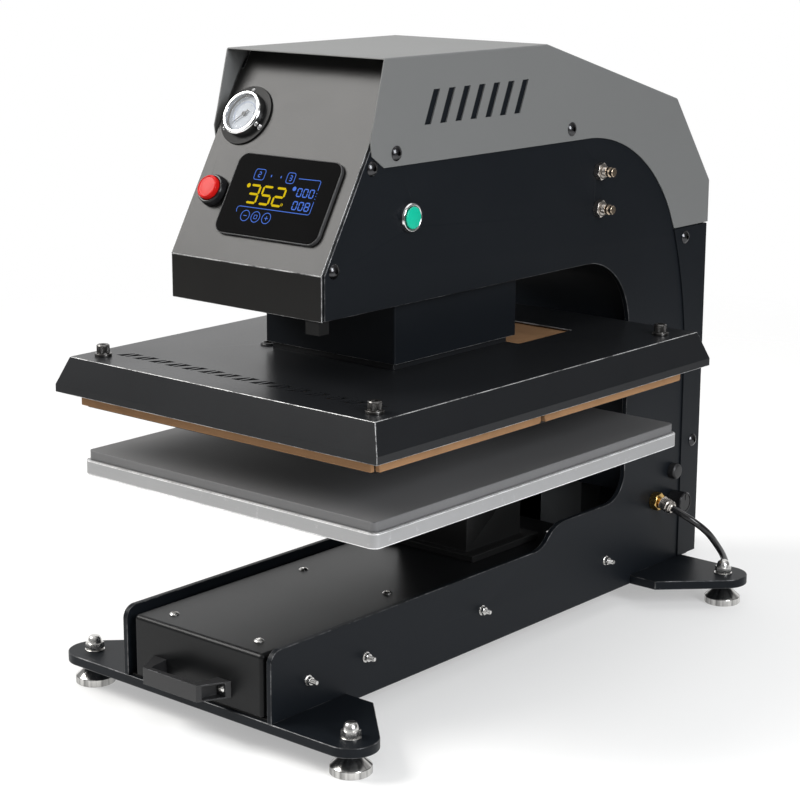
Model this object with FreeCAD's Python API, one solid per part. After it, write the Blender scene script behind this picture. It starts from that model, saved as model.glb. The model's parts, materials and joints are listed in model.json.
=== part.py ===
"""Pneumatic drawer heat press, 16 x 20 inch platens.

Frame: X to the machine's right, Y to the back, Z up, floor at Z = 0, millimetres.
The model is laid out with Y = 0 at the lower platen's front edge, and moved at the end so that
the origin is the middle of the machine's footprint.
"""
import FreeCAD, Part
import math
import os

V = FreeCAD.Vector

# ---------------------------------------------------------------- driving dimensions
# platens
platen_width = 406.4
platen_depth = 508.0
lower_platen_top = 238.3
lower_platen_thick = 15.7
pad_thick = 10.0
pad_inset = 3.5
platen_opening = 46.7
heating_plate_thick = 16.0
heating_plate_inset = 3.0

# upper platen cover (sheet tray)
cover_top = 348.6
cover_skirt_low = 311.3
cover_lip_high = 319.5
cover_top_side = 6.6
cover_low_side = 18.4
cover_top_front = -7.7
cover_low_front = -18.6
cover_top_rear = 21.0
cover_low_rear = 30.0
cover_sheet = 1.5

# C-frame
plate_outer = 104.5
plate_thick = 6.0
base_bottom = 25.0
base_front = -38.9
base_top = 109.0
base_step_top = 133.0
base_step_front = 385.0
base_step_back = 431.0
column_front = 551.0
column_back = 680.0
arm_under = 419.5
head_top = 655.0
throat_radius = 84.0

# casing
casing_sheet = 1.5
casing_gap = 0.2
cowling_top = 663.0
cowling_low = 558.3
cowling_back = 708.0
cowling_tail_low = 440.0
seam_gap = 1.5
rear_cover_gap = 0.5
rear_cover_front = 667.0
seam_arc_start = 458.0

# control panel: a vertical lip and a face that leans back
panel_inset = 2.2
panel_sheet = 2.0
panel_lip_front = 38.1
panel_lip_low = 418.9
panel_bend_z = 464.2
panel_tilt = 60.0
panel_length = 205.0
panel_rise = 22.0

# head and press cylinder
axis_y = 256.5
head_plate_low = 424.0
head_plate_thick = 12.0
cylinder_bore = 100.0
cylinder_wall = 4.0
cylinder_length = 92.0
cylinder_cap_thick = 20.0
cylinder_cap_rim = 2.0
rod_diameter = 25.0
guide_rod_diameter = 16.0
guide_side_room = 6.0
guide_front_room = 10.0
guide_rod_length = 205.0
slide_clearance = 0.05
rod_window_room = 2.5

# shroud
shroud_sheet = 1.5
shroud_offset = 4.25
shroud_step = 5.0
shroud_guide_room = 27.0
shroud_front_gap = 4.0
shroud_back_gap = 9.0
shroud_outer_low = 355.5
shroud_inner_high = 412.0

# drawer
drawer_side_room = 7.5
drawer_front = -36.5
drawer_back = 500.0
drawer_top = 102.5
drawer_low = 38.6
drawer_sheet = 2.0
drawer_travel = 320.0
handle_centre = -7.0
handle_half = 55.0
handle_bar_half = 38.0
handle_reach = 31.0
handle_high = 65.4
handle_low = 48.0
rail_mid_z = 66.5
rail_length = 560.0

# feet
foot_x = 182.0
foot_front_y = -10.5
foot_back_y = 649.0
foot_round = 28.0
foot_plate_thick = 10.4
foot_plate_deep = 108.5
foot_plate_straight = 140.0
foot_diameter = 42.0
stud_diameter = 10.0

# air hose
hose_diameter = 8.0
inlet_y = 613.0
inlet_z = 117.5
inlet_droop = 18.0
inlet_hex = 13.0
inlet_collar_length = 15.5

# display, gauge and buttons on the panel (sideways, up the panel from the bend)
gauge_place = (-69.0, 153.5)
gauge_flange = 64.0
gauge_bezel_diameter = 48.0
display_place = (15.5, 70.0)
display_size = (139.0, 87.0)
display_proud = 4.0
red_place = (-74.0, 69.5)
green_guide_room = 26.5
green_z = 506.0
valve_places = ((483.0, 521.0), (483.0, 480.0))
regulator_place = (652.0, 109.7)

# ---------------------------------------------------------------- values that follow
plate_inner = plate_outer - plate_thick
arm_front = panel_lip_front + panel_sheet
cover_top_half = platen_width / 2 + cover_top_side
cover_low_half = platen_width / 2 + cover_low_side
cover_top_back = platen_depth + cover_top_rear
cover_low_back = platen_depth + cover_low_rear
panel_half = plate_outer - panel_inset
drawer_half = plate_inner - drawer_side_room
cylinder_cap_half = cylinder_bore / 2 + cylinder_wall + cylinder_cap_rim
guide_half_x = cylinder_cap_half + guide_side_room
guide_half_y = cylinder_cap_half + guide_front_room
green_place = (axis_y - guide_half_y - green_guide_room, green_z)
rod_window_half = guide_half_x + guide_rod_diameter / 2 + rod_window_room
shroud_inner_half_x = (guide_half_x + plate_inner) / 2 + shroud_offset
shroud_inner_front = axis_y - guide_half_y - shroud_guide_room
shroud_inner_back = axis_y + guide_half_y + shroud_guide_room
shroud_outer_half_x = shroud_inner_half_x + shroud_step
shroud_outer_front = shroud_inner_front - shroud_front_gap
shroud_outer_back = shroud_inner_back + shroud_back_gap
casing_inner = plate_outer + casing_gap
casing_outer = casing_inner + casing_sheet
pad_top = lower_platen_top + pad_thick
hot_low = pad_top + platen_opening
hot_high = hot_low + heating_plate_thick
foot_plate_top = base_bottom + foot_plate_thick
rear_cover_low = foot_plate_top + rear_cover_gap
cover_under = cover_top - cover_sheet
tilt = math.radians(panel_tilt)
lean_y = math.cos(tilt)
lean_z = math.sin(tilt)
front_plate_front = foot_front_y - foot_round
back_plate_back = foot_back_y + foot_round
back_plate_front = back_plate_back - foot_plate_deep
panel_frame = FreeCAD.Placement(V(0, panel_lip_front, panel_bend_z), FreeCAD.Rotation(V(1, 0, 0), panel_tilt))


# ---------------------------------------------------------------- small helpers
def box(x0, x1, y0, y1, z0, z1):
    """A block between two corners."""
    return Part.makeBox(x1 - x0, y1 - y0, z1 - z0, V(x0, y0, z0))


def rod_x(radius, x0, x1, y, z):
    """A cylinder along X."""
    return Part.makeCylinder(radius, x1 - x0, V(x0, y, z), V(1, 0, 0))


def rod_y(radius, x, y0, y1, z):
    """A cylinder along Y."""
    return Part.makeCylinder(radius, y1 - y0, V(x, y0, z), V(0, 1, 0))


def rod_z(radius, x, y, z0, z1):
    """A cylinder along Z."""
    return Part.makeCylinder(radius, z1 - z0, V(x, y, z0), V(0, 0, 1))


def edges_of(points):
    """Edges through points; a step of three items is an arc (middle point, end point)."""
    edges = []
    last = points[0]
    for step in points[1:] + points[:1]:
        if isinstance(step, tuple):
            edges.append(Part.Arc(last, step[0], step[1]).toShape())
            last = step[1]
        elif (step - last).Length > 1e-6:
            edges.append(Part.LineSegment(last, step).toShape())
            last = step
    return edges


def side_profile(points, x0, x1):
    """A solid from an outline in the YZ plane, drawn from x0 to x1."""
    def place(p):
        return V(x0, p[0], p[1])
    steps = [tuple(place(q) for q in p) if isinstance(p[0], tuple) else place(p) for p in points]
    face = Part.Face(Part.Wire(edges_of(steps)))
    return face.extrude(V(x1 - x0, 0, 0))


def plan_profile(points, z0, z1):
    """A solid from an outline in the XY plane, drawn from z0 to z1."""
    def place(p):
        return V(p[0], p[1], z0)
    steps = [tuple(place(q) for q in p) if isinstance(p[0], tuple) else place(p) for p in points]
    face = Part.Face(Part.Wire(edges_of(steps)))
    return face.extrude(V(0, 0, z1 - z0))


def fillet_where(shape, radius, test):
    """Round the edges whose middle point and direction pass the test."""
    picked = []
    for edge in shape.Edges:
        if edge.Curve.TypeId != "Part::GeomLine":
            continue
        middle = edge.valueAt((edge.FirstParameter + edge.LastParameter) / 2)
        along = edge.tangentAt(edge.FirstParameter)
        if test(middle, along):
            picked.append(edge)
    return shape.makeFillet(radius, picked)


def round_upright(shape, radius):
    """Round every straight edge that stands along Z."""
    return fillet_where(shape, radius, lambda middle, along: abs(along.z) > 0.999)


def rounded_block(x0, x1, y0, y1, z0, z1, radius):
    """A block with its upright edges rounded."""
    return round_upright(box(x0, x1, y0, y1, z0, z1), radius)


def hexagon(flats, height, base, axis, turn=0.0):
    """A hexagonal prism of the given width across flats."""
    corner = flats / math.sqrt(3)
    points = [V(corner * math.cos(math.radians(60 * k + turn)), corner * math.sin(math.radians(60 * k + turn)), 0)
              for k in range(7)]
    prism = Part.Face(Part.makePolygon(points)).extrude(V(0, 0, height))
    prism.Placement = FreeCAD.Placement(base, FreeCAD.Rotation(V(0, 0, 1), axis))
    return prism


def turned(outline, base, axis):
    """A solid of revolution: (radius, height) points turned about an axis from a base point."""
    points = [V(r, 0, h) for r, h in outline]
    face = Part.Face(Part.makePolygon(points + points[:1]))
    solid = face.revolve(V(0, 0, 0), V(0, 0, 1), 360)
    solid.Placement = FreeCAD.Placement(base, FreeCAD.Rotation(V(0, 0, 1), axis))
    return solid


def dome_head(radius, height, base, axis, shank_radius, shank):
    """A dome-headed screw with a hexagon socket: head on the base point, shank behind it."""
    ball = (radius * radius + height * height) / (2 * height)
    head = Part.makeSphere(ball, V(0, 0, height - ball)).common(Part.makeCylinder(radius, height))
    head = head.cut(hexagon(radius * 0.7, height, V(0, 0, height * 0.45), V(0, 0, 1)))
    screw = head.fuse(Part.makeCylinder(shank_radius, shank, V(0, 0, -shank))).removeSplitter()
    screw.Placement = FreeCAD.Placement(base, FreeCAD.Rotation(V(0, 0, 1), axis))
    return screw


def on_panel(shape):
    """Move a shape drawn in the panel's own frame (X, up the face, out of it) to its place."""
    moved = shape.copy()
    moved.Placement = panel_frame.multiply(moved.Placement)
    return moved


def mirrored(shape):
    """The same shape on the machine's other side."""
    return shape.mirror(V(0, 0, 0), V(1, 0, 0))


def both_sides(shape):
    """A shape and its mirror image."""
    return [shape, mirrored(shape)]


# ---------------------------------------------------------------- shared outlines
seam_mid = (560.0, 530.5)
seam_low = (624.7, 463.1)
seam_tail = (635.6, cowling_tail_low)
panel_top_y = panel_lip_front + panel_length * lean_y
panel_top_z = panel_bend_z + panel_length * lean_z
cowling_bends = ((385.0, cowling_top), (632.6, 590.0), (cowling_back, 487.5))


def cowling_outline():
    """Side view of the cowling, its lower edge following the seam over the side plates."""
    return [(124.8, cowling_top), (109.4, 604.2), (104.2, 586.4), (106.3, 570.5), (124.0, cowling_low),
            (seam_arc_start, cowling_low), (seam_mid, seam_low), seam_tail,
            (cowling_back, cowling_tail_low)] + list(reversed(cowling_bends))


def side_plate_outline():
    """Side view of a C-shaped side plate."""
    front_y = arm_front
    lean = lean_y / lean_z
    bend_z = panel_bend_z - panel_sheet * math.tan(math.radians(90.0 - panel_tilt) / 2)
    top_z = head_top - 8.0
    top_y = front_y + (top_z - bend_z) * lean
    r = throat_radius
    s = math.sqrt(0.5)
    arc_y = column_front - r
    arc_z = arm_under - r
    base_round = 14.0
    fillet = 33.0
    step = 22.0
    return [
        (base_front, base_bottom),
        (base_front, base_top - base_round),
        ((base_front + base_round * (1 - s), base_top - base_round * (1 - s)), (base_front + base_round, base_top)),
        (base_step_front - step / 2, base_top),
        ((base_step_front + step * 0.6, base_top + 4.5), (base_step_front + step, (base_top + base_step_top) / 2)),
        ((base_step_back - step * 0.6, base_step_top - 4.5), (base_step_back + step / 2, base_step_top)),
        (column_front - fillet, base_step_top),
        ((column_front - fillet * (1 - s), base_step_top + fillet * (1 - s)), (column_front, base_step_top + fillet)),
        (column_front, arc_z),
        ((arc_y + r * s, arc_z + r * s), (arc_y, arm_under)),
        (front_y, arm_under),
        (front_y, bend_z),
        (top_y, top_z),
        (top_y + 8.0, head_top),
        (383.0, head_top),
        (628.0, 582.0),
        (column_back + 18.0, 487.0),
        (column_back + 18.0, 452.0),
        (column_back, 430.0),
        (column_back, base_bottom),
    ]


# ---------------------------------------------------------------- frame
def side_plate():
    """Right side plate, with notches over the foot plates and its holes."""
    plate = side_profile(side_plate_outline(), plate_inner, plate_outer)
    cutter = [box(plate_inner - 1, plate_outer + 1, front_plate_front - 5, front_plate_front + foot_plate_deep,
                  base_bottom - 1, foot_plate_top)]
    cutter.append(box(plate_inner - 1, plate_outer + 1, back_plate_front, column_back + 1,
                      base_bottom - 1, foot_plate_top))
    for y, z in side_bolt_places:
        cutter.append(rod_x(side_bolt_shank, plate_inner - 1, plate_outer + 1, y, z))
    for y, z in cowling_screws + rear_cover_screws + panel_screws:
        cutter.append(rod_x(screw_hole, plate_inner - 1, plate_outer + 1, y, z))
    return plate.cut(cutter)


def right_plate_openings():
    """Holes that only the right side plate has."""
    holes = [rod_x(green_barrel, plate_inner - 1, plate_outer + 1, *green_place)]
    for place in valve_places:
        holes.append(rod_x(valve_thread, plate_inner - 1, plate_outer + 1, *place))
    holes.append(rod_x(regulator_stem + 3.0, plate_inner - 1, plate_outer + 1, *regulator_place))
    holes.append(rod_x(inlet_thread, plate_inner - 1, plate_outer + 1, inlet_y, inlet_z))
    return holes


def foot_plate(outer_y, inner_y, centre_y):
    """A flat bar across the base whose rounded ears carry the levelling feet."""
    side = 1 if inner_y > outer_y else -1
    span_x = foot_x - foot_plate_straight
    span_y = abs(inner_y - centre_y)
    reach = math.hypot(span_x, span_y)
    angle = math.atan2(span_y, -span_x) - math.acos(foot_round / reach)
    tangent = (foot_x + foot_round * math.cos(angle), centre_y + side * foot_round * math.sin(angle))
    tip = (foot_x + foot_round * math.cos(-0.5), centre_y - side * foot_round * math.sin(0.5))
    right = [(foot_x, outer_y), (tip, tangent), (foot_plate_straight, inner_y)]
    left = [(-foot_plate_straight, inner_y), (-tangent[0], tangent[1]), ((-tip[0], tip[1]), (-foot_x, outer_y))]
    bar = plan_profile(right + left, base_bottom, foot_plate_top)
    for x in (-foot_x, foot_x):
        bar = bar.cut(rod_z(stud_diameter / 2 + slide_clearance, x, centre_y, base_bottom - 1, foot_plate_top + 1))
    return bar


def base_tray():
    """Folded floor pan between the side plates."""
    low = foot_plate_top
    pan = box(-plate_inner, plate_inner, front_plate_front + 4, column_back - 4, low, low + 2.0)
    back = box(-plate_inner, plate_inner, column_back - 6, column_back - 4, low, low + 40)
    return pan.fuse(back).removeSplitter()


def column_web():
    """Bent plate that closes the column's front and the throat between the side plates."""
    thick = 4.0
    set_back = 6.0
    y = column_front + set_back
    r = throat_radius + set_back
    s = math.sqrt(0.5)
    arc_y = column_front - throat_radius
    arc_z = arm_under - throat_radius
    top = arc_z + r
    ro = r + thick
    return side_profile([(y, 140.0), (y, arc_z), ((arc_y + r * s, arc_z + r * s), (arc_y, top)),
                         (shroud_outer_back + 22.0, top), (shroud_outer_back + 22.0, top + thick),
                         (arc_y, top + thick), ((arc_y + ro * s, arc_z + ro * s), (y + thick, arc_z)),
                         (y + thick, 140.0)], -plate_inner, plate_inner)


side_bolt_places = ((13.2, 66.5), (98.7, 66.5), (287.0, 66.5), (517.0, 66.5))
side_bolt_shank = 2.5


def side_bolt(y, z):
    """Rail bolt: washer, nut and the stud's end outside the side plate."""
    washer = rod_x(5.5, plate_outer, plate_outer + 1.2, y, z)
    nut = hexagon(8.0, 4.0, V(plate_outer + 1.2, y, z), V(1, 0, 0), 15)
    stud = rod_x(side_bolt_shank, plate_inner, plate_outer + 12.0, y, z)
    return washer.fuse([nut, stud]).removeSplitter()


# ---------------------------------------------------------------- casing
def cowling():
    """Grey folded top cowling over the head, open below and in front."""
    outer = side_profile(cowling_outline(), -casing_outer, casing_outer)
    t = casing_sheet
    slope = (cowling_bends[1][1] - cowling_bends[0][1]) / (cowling_bends[1][0] - cowling_bends[0][0])
    inner = [(60.0, 400.0), (60.0, cowling_top - t), (cowling_bends[0][0] - 0.2, cowling_top - t),
             (cowling_bends[1][0] - 0.8, cowling_bends[1][1] - t * math.hypot(1, slope)),
             (cowling_back - t, cowling_bends[2][1] - 0.6), (cowling_back - t, 400.0)]
    shell = outer.cut(side_profile(inner, -casing_inner, casing_inner))
    shell = fillet_where(shell, 2.2, lambda m, a: abs(abs(m.x) - casing_outer) < 0.01 and (
        (m.z > cowling_low + 20 and m.y > 126) or m.y > cowling_back - 0.1))
    slots = []
    for k in range(7):
        slots.append(slanted_slot(V(0, 196.0 + 24.0 * k, 612.0), 10.0, 34.0, 14.0))
    return shell.cut(slots + [rod_x(screw_hole, -casing_outer - 1, casing_outer + 1, y, z) for y, z in cowling_screws])


def slanted_slot(centre, width, height, lean):
    """A leaning parallelogram cut right through both cheeks."""
    w = width / 2
    h = height / 2
    corners = [(-w - lean / 2, -h), (w - lean / 2, -h), (w + lean / 2, h), (-w + lean / 2, h)]
    points = [(centre.y + a, centre.z + b) for a, b in corners]
    return side_profile(points, -casing_outer - 1, casing_outer + 1)


def rear_cover():
    """Black folded cover round the back of the column."""
    top = cowling_tail_low - seam_gap
    start = (seam_tail[0] + 0.3, top)
    outline = [start, ((652.5, 385.0), (rear_cover_front, 290.0)), (rear_cover_front, rear_cover_low),
               (cowling_back - 2.0, rear_cover_low), (cowling_back - 2.0, top)]
    outer = side_profile(outline, -casing_outer, casing_outer)
    inner = box(-casing_inner, casing_inner, 600.0, cowling_back - 2.0 - casing_sheet, 20.0, 460.0)
    shell = outer.cut(inner)
    shell = fillet_where(shell, 2.2, lambda m, a: abs(abs(m.x) - casing_outer) < 0.01 and m.y > cowling_back - 2.1)
    cuts = [rod_x(screw_hole, -casing_outer - 1, casing_outer + 1, y, z) for y, z in rear_cover_screws]
    for row in range(9):
        for x in (-38.0, 38.0):
            cuts.append(rounded_slot(x, 300.0 + 12.0 * row))
    x0, x1, z0, z1 = inlet_window
    cuts.append(box(x0, x1, cowling_back - 10, cowling_back + 1, z0, z1))
    return shell.cut(cuts)


def rounded_slot(x, z):
    """One ventilation slot in the rear cover's back wall."""
    half = 24.0
    r = 2.5
    y = cowling_back - 6.0
    bar = Part.makeBox(2 * half, 10, 2 * r, V(x - half, y, z - r))
    return bar.fuse([rod_y(r, x - half, y, y + 10, z), rod_y(r, x + half, y, y + 10, z)]).removeSplitter()


cowling_screws = ((142.0, 571.0), (430.0, 571.0))
rear_cover_screws = ((659.4, 427.0), (690.5, 176.5))
panel_screws = ((108.3, 559.0), (53.3, 466.5))
fuse_place = (650.5, 146.5)
dome_radius = 7.5
dome_height = 4.2
screw_hole = 3.0


def casing_screws():
    """Black dome-headed screws on both cheeks, and the taller cap above the regulator knob."""
    screws = []
    for y, z in cowling_screws + rear_cover_screws:
        screws += both_sides(dome_head(dome_radius, dome_height, V(casing_outer, y, z), V(1, 0, 0), 2.8, 5.0))
    for y, z in panel_screws:
        screws += both_sides(dome_head(dome_radius, dome_height, V(plate_outer, y, z), V(1, 0, 0), 2.8, 5.5))
    y, z = fuse_place
    cap = turned([(0, 0), (9.5, 0), (9.5, 7.5), (7.5, 9.5), (0, 9.5)], V(plate_outer, y, z), V(1, 0, 0))
    return screws + [cap]


# ---------------------------------------------------------------- control panel and what is on it
def control_panel():
    """Folded panel: lip, leaning face and side flanges, with its cut-outs."""
    t = panel_sheet
    lip = box(-panel_half, panel_half, panel_lip_front, panel_lip_front + t, panel_lip_low, panel_bend_z - 0.6)
    face = on_panel(box(-panel_half, panel_half, -0.9, panel_length, -t, 0))
    tongue_half = plate_inner - 0.3
    face = face.fuse(on_panel(box(-tongue_half, tongue_half, panel_length - 1, panel_length + panel_rise, -t, 0)))
    bend = rod_x(t, -panel_half, panel_half, panel_lip_front + t, panel_bend_z - 0.6)
    bend = bend.common(box(-panel_half, panel_half, panel_lip_front, panel_lip_front + t,
                           panel_bend_z - 3, panel_bend_z + 3))
    body = lip.fuse([face, bend])
    flange_x = plate_inner - 0.3
    flange = on_panel(box(flange_x - t, flange_x, -2.0, panel_length - 10, -26.0, -t + 0.3))
    body = body.fuse(both_sides(flange)).removeSplitter()
    cuts = []
    gx, gu = gauge_place
    cuts.append(on_panel(Part.makeCylinder(gauge_body_radius + 0.5, 12, V(gx, gu, -6))))
    for x, u in gauge_screw_places():
        cuts.append(on_panel(Part.makeCylinder(1.6, 12, V(x, u, -6))))
    rx, ru = red_place
    cuts.append(on_panel(Part.makeCylinder(red_barrel, 12, V(rx, ru, -6))))
    dx, du = display_place
    cuts.append(on_panel(box(dx - 52, dx + 52, du - 30, du + 30, -6, 6)))
    for y, z in panel_screws:
        cuts.append(rod_x(screw_hole, -plate_outer, plate_outer, y, z))
    return body.cut(cuts)


gauge_body_radius = 21.0
gauge_depth = 24.0


def gauge_screw_places():
    """Places of the gauge's three flange screws on the panel."""
    x, u = gauge_place
    circle = 27.5
    return [(x + circle * math.cos(math.radians(a)), u + circle * math.sin(math.radians(a))) for a in (95, 215, 335)]


def gauge_case():
    """Flanged gauge body through the panel, its stem and three screws."""
    x, u = gauge_place
    flange = Part.makeCylinder(gauge_flange / 2, 2.0, V(x, u, 0))
    body = Part.makeCylinder(gauge_body_radius, gauge_depth + 8.0, V(x, u, -gauge_depth))
    stem = Part.makeCylinder(6.0, 16.0, V(x, u, -gauge_depth - 16.0))
    hollow = Part.makeCylinder(gauge_body_radius - 1.2, 7.0, V(x, u, 3.0))
    pivot = Part.makeCylinder(1.0, 4.6, V(x, u, 3.0))
    case = flange.fuse([body, stem]).cut(hollow).fuse(pivot).removeSplitter()
    screws = []
    for sx, su in gauge_screw_places():
        case = case.cut(Part.makeCylinder(1.6, 8, V(sx, su, -2)))
        screws.append(dome_head(2.7, 1.7, V(sx, su, 2.0), V(0, 0, 1), 1.5, 6.0))
    return [on_panel(case)] + [on_panel(s) for s in screws]


def gauge_bezel():
    """Polished ring that holds the gauge's lens."""
    x, u = gauge_place
    outer = gauge_bezel_diameter / 2
    inner = gauge_body_radius
    ring = [(inner, 2.0), (outer - 1.0, 2.0), (outer, 3.5), (outer, 8.0), (outer - 1.6, 10.6), (inner - 1.5, 10.6),
            (inner - 1.5, 9.7), (inner, 9.7)]
    return on_panel(turned(ring, V(x, u, 0), V(0, 0, 1)))


def gauge_dial():
    """White dial plate."""
    x, u = gauge_place
    dial = Part.makeCylinder(gauge_body_radius - 1.4, 1.0, V(x, u, 3.0))
    return on_panel(dial.cut(Part.makeCylinder(1.3, 4, V(x, u, 2))))


def gauge_lens():
    """Clear lens under the bezel's lip."""
    x, u = gauge_place
    return on_panel(Part.makeCylinder(gauge_body_radius - 0.2, 1.4, V(x, u, 8.2)))


def gauge_needle():
    """Needle with its hub, resting near the dial's low end."""
    x, u = gauge_place
    z = 5.2
    angle = math.radians(needle_rest)
    c = math.cos(angle)
    s = math.sin(angle)

    def at(along, across):
        return V(along * c - across * s, along * s + across * c, 0)
    tip = Part.Face(Part.makePolygon([at(-6, 1.1), at(-6, -1.1), at(15.5, -0.3), at(15.5, 0.3), at(-6, 1.1)]))
    needle = tip.extrude(V(0, 0, 0.8))
    hub = Part.makeCylinder(2.4, 1.6, V(0, 0, -0.3))
    needle = needle.fuse(hub).cut(Part.makeCylinder(1.0 + slide_clearance, 6, V(0, 0, -3))).removeSplitter()
    needle.Placement = FreeCAD.Placement(V(x, u, z), FreeCAD.Rotation())
    return on_panel(needle)


needle_rest = 225.0


def display_housing():
    """Raised frame round the touch display, with the electronics box behind the panel."""
    x, u = display_place
    w, h = display_size
    frame = rounded_block(x - w / 2, x + w / 2, u - h / 2, u + h / 2, 0, display_proud, 12.0)
    back = box(x - 51.5, x + 51.5, u - 29.5, u + 29.5, -14.0, 0.5)
    pocket = rounded_block(x - w / 2 + 1.2, x + w / 2 - 1.2, u - h / 2 + 1.2, u + h / 2 - 1.2,
                           display_proud - 2.0, display_proud + 1, 10.8)
    return on_panel(frame.fuse(back).cut(pocket).removeSplitter())


def display_glass():
    """Black glass front of the display."""
    x, u = display_place
    w, h = display_size
    inset = 1.3
    return on_panel(rounded_block(x - w / 2 + inset, x + w / 2 - inset, u - h / 2 + inset, u + h / 2 - inset,
                                  display_proud - 2.0, display_proud - 0.1, 10.7))


red_barrel = 11.0
red_travel = 4.0


def red_housing():
    """Round guard and barrel of the red push button."""
    x, u = red_place
    outline = [(0, -26), (red_barrel - 0.2, -26), (red_barrel - 0.2, 0), (16.5, 0), (16.5, 7.0), (15.0, 9.0),
               (12.9, 9.0), (12.9, 3.0), (7.6, 3.0), (7.6, -12.0), (0, -12.0)]
    return on_panel(turned(outline, V(x, u, 0), V(0, 0, 1)))


def red_button():
    """Red cap that slides in its guard."""
    x, u = red_place
    outline = [(0, -7.5), (7.5, -7.5), (7.5, 7.4), (12.6, 7.4), (12.6, 12.2), (11.4, 13.4), (0, 14.0)]
    return on_panel(turned(outline, V(x, u, 0), V(0, 0, 1)))


green_barrel = 11.0
green_travel = 3.0


def green_bezel():
    """Metal bezel and barrel of the green push button on the right side plate."""
    y, z = green_place
    outline = [(0, -28), (green_barrel - 0.2, -28), (green_barrel - 0.2, 0), (14.9, 0), (14.9, 3.4), (13.4, 5.0),
               (11.4, 5.0), (11.4, 1.5), (6.6, 1.5), (6.6, -10.0), (0, -10.0)]
    return turned(outline, V(plate_outer, y, z), V(1, 0, 0))


def green_button():
    """Green cap of the side push button."""
    y, z = green_place
    outline = [(0, -6.0), (6.5, -6.0), (6.5, 4.9), (11.2, 4.9), (11.2, 5.6), (10.2, 6.4), (0, 6.8)]
    return turned(outline, V(plate_outer, y, z), V(1, 0, 0))


# ---------------------------------------------------------------- air fittings
valve_thread = 6.0
valve_knob_length = 9.0
valve_knob_radius = 5.5


def valve_body(y, z):
    """Flow-control valve: bulkhead hexagon, threaded neck and needle stem, with its port inside."""
    x = plate_outer
    flange = hexagon(17.0, 7.0, V(x, y, z), V(1, 0, 0), 15)
    neck = rod_x(5.0, x + 7.0, x + 12.0, y, z)
    stem = rod_x(2.0, x + 12.0, x + 18.0, y, z)
    inside = rod_x(valve_thread - 0.2, x - 20.0, x, y, z)
    return flange.fuse([neck, stem, inside]).removeSplitter()


def flow_knob(y, z):
    """Knurled knob of a flow-control valve."""
    x = plate_outer + 12.4
    knob = rod_x(valve_knob_radius, x, x + valve_knob_length, y, z)
    for k in range(12):
        a = math.radians(30 * k)
        knob = knob.cut(rod_x(0.9, x - 1, x + valve_knob_length + 1, y + (valve_knob_radius + 0.2) * math.cos(a),
                             z + (valve_knob_radius + 0.2) * math.sin(a)))
    return knob.cut(rod_x(2.0 + slide_clearance, x - 1, x + 6.5, y, z))


regulator_stem = 5.0
regulator_knob_radius = 12.6
regulator_knob_length = 19.5


def regulator_knob():
    """Black round knob of the pressure regulator, with a pointer groove in its face."""
    y, z = regulator_place
    x = plate_outer + 0.8
    r = regulator_knob_radius
    n = regulator_knob_length
    knob = turned([(0, 0), (r, 0), (r, n - 1.2), (r - 1.2, n), (r - 2.2, n), (r - 2.6, n - 0.8), (0, n - 0.8)],
                  V(x, y, z), V(1, 0, 0))
    knob = knob.cut(rod_x(regulator_stem + slide_clearance, x - 1, x + 12.0, y, z))
    return knob.cut(box(x + n - 1.6, x + n + 1, y - 0.8, y + 0.8, z + 3.0, z + r + 1))


inlet_thread = 8.0


def inlet_fitting():
    """Brass bulkhead hexagon of the air inlet."""
    x = plate_outer
    body = hexagon(19.0, inlet_hex - 3.0, V(x, inlet_y, inlet_z), V(1, 0, 0), 10)
    inside = rod_x(inlet_thread - 0.2, x - 24.0, x, inlet_y, inlet_z)
    neck = rod_x(5.0, x + inlet_hex - 3.0, x + inlet_hex, inlet_y, inlet_z)
    return body.fuse([inside, neck]).cut(inlet_collar()).removeSplitter()


def inlet_collar():
    """Nickel tube nut that droops a little from the brass body; the hose starts at its face."""
    n = inlet_collar_length
    outline = [(0, 0), (8.0, 0), (8.0, n - 6.0), (7.2, n - 5.0), (7.8, n - 4.0), (7.8, n - 2.5), (6.4, n), (0, n)]
    return turned(outline, V(plate_outer + inlet_hex, inlet_y, inlet_z), inlet_way)


def air_valves():
    """Solenoid valve and pressure regulator body inside the column."""
    solenoid = box(-40.0, 20.0, 585.0, 625.0, foot_plate_top + 2.0, 150.0)
    coils = [rod_z(13.0, x, 605.0, 150.0, 190.0) for x in (-25.0, 5.0)]
    solenoid = solenoid.fuse(coils).removeSplitter()
    y, z = regulator_place
    block = box(62.0, plate_inner - 4.0, y - 18, y + 18, z - 40, z + 22)
    boss = rod_x(regulator_stem + 2.5, plate_inner - 4.0, plate_outer, y, z)
    stem = rod_x(regulator_stem, plate_outer, plate_outer + 11.0, y, z)
    foot = box(66.0, 90.0, y - 12, y + 12, foot_plate_top + 2.0, z - 40)
    return [solenoid, block.fuse([boss, stem, foot]).removeSplitter()]


def controller_board():
    """Controller board on four stand-offs behind the column web."""
    y = column_front + 10.0
    board = box(-70.0, 70.0, y + 8.0, y + 9.6, 220.0, 330.0)
    stands = [rod_y(3.0, x, y, y + 8.0, z) for x in (-62.0, 62.0) for z in (228.0, 322.0)]
    relay = box(-50.0, -20.0, y + 9.6, y + 28.0, 250.0, 290.0)
    transformer = box(0.0, 44.0, y + 9.6, y + 40.0, 240.0, 285.0)
    return board.fuse(stands + [relay, transformer]).removeSplitter()


inlet_window = (-84.0, -34.0, 84.0, 112.0)


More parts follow.
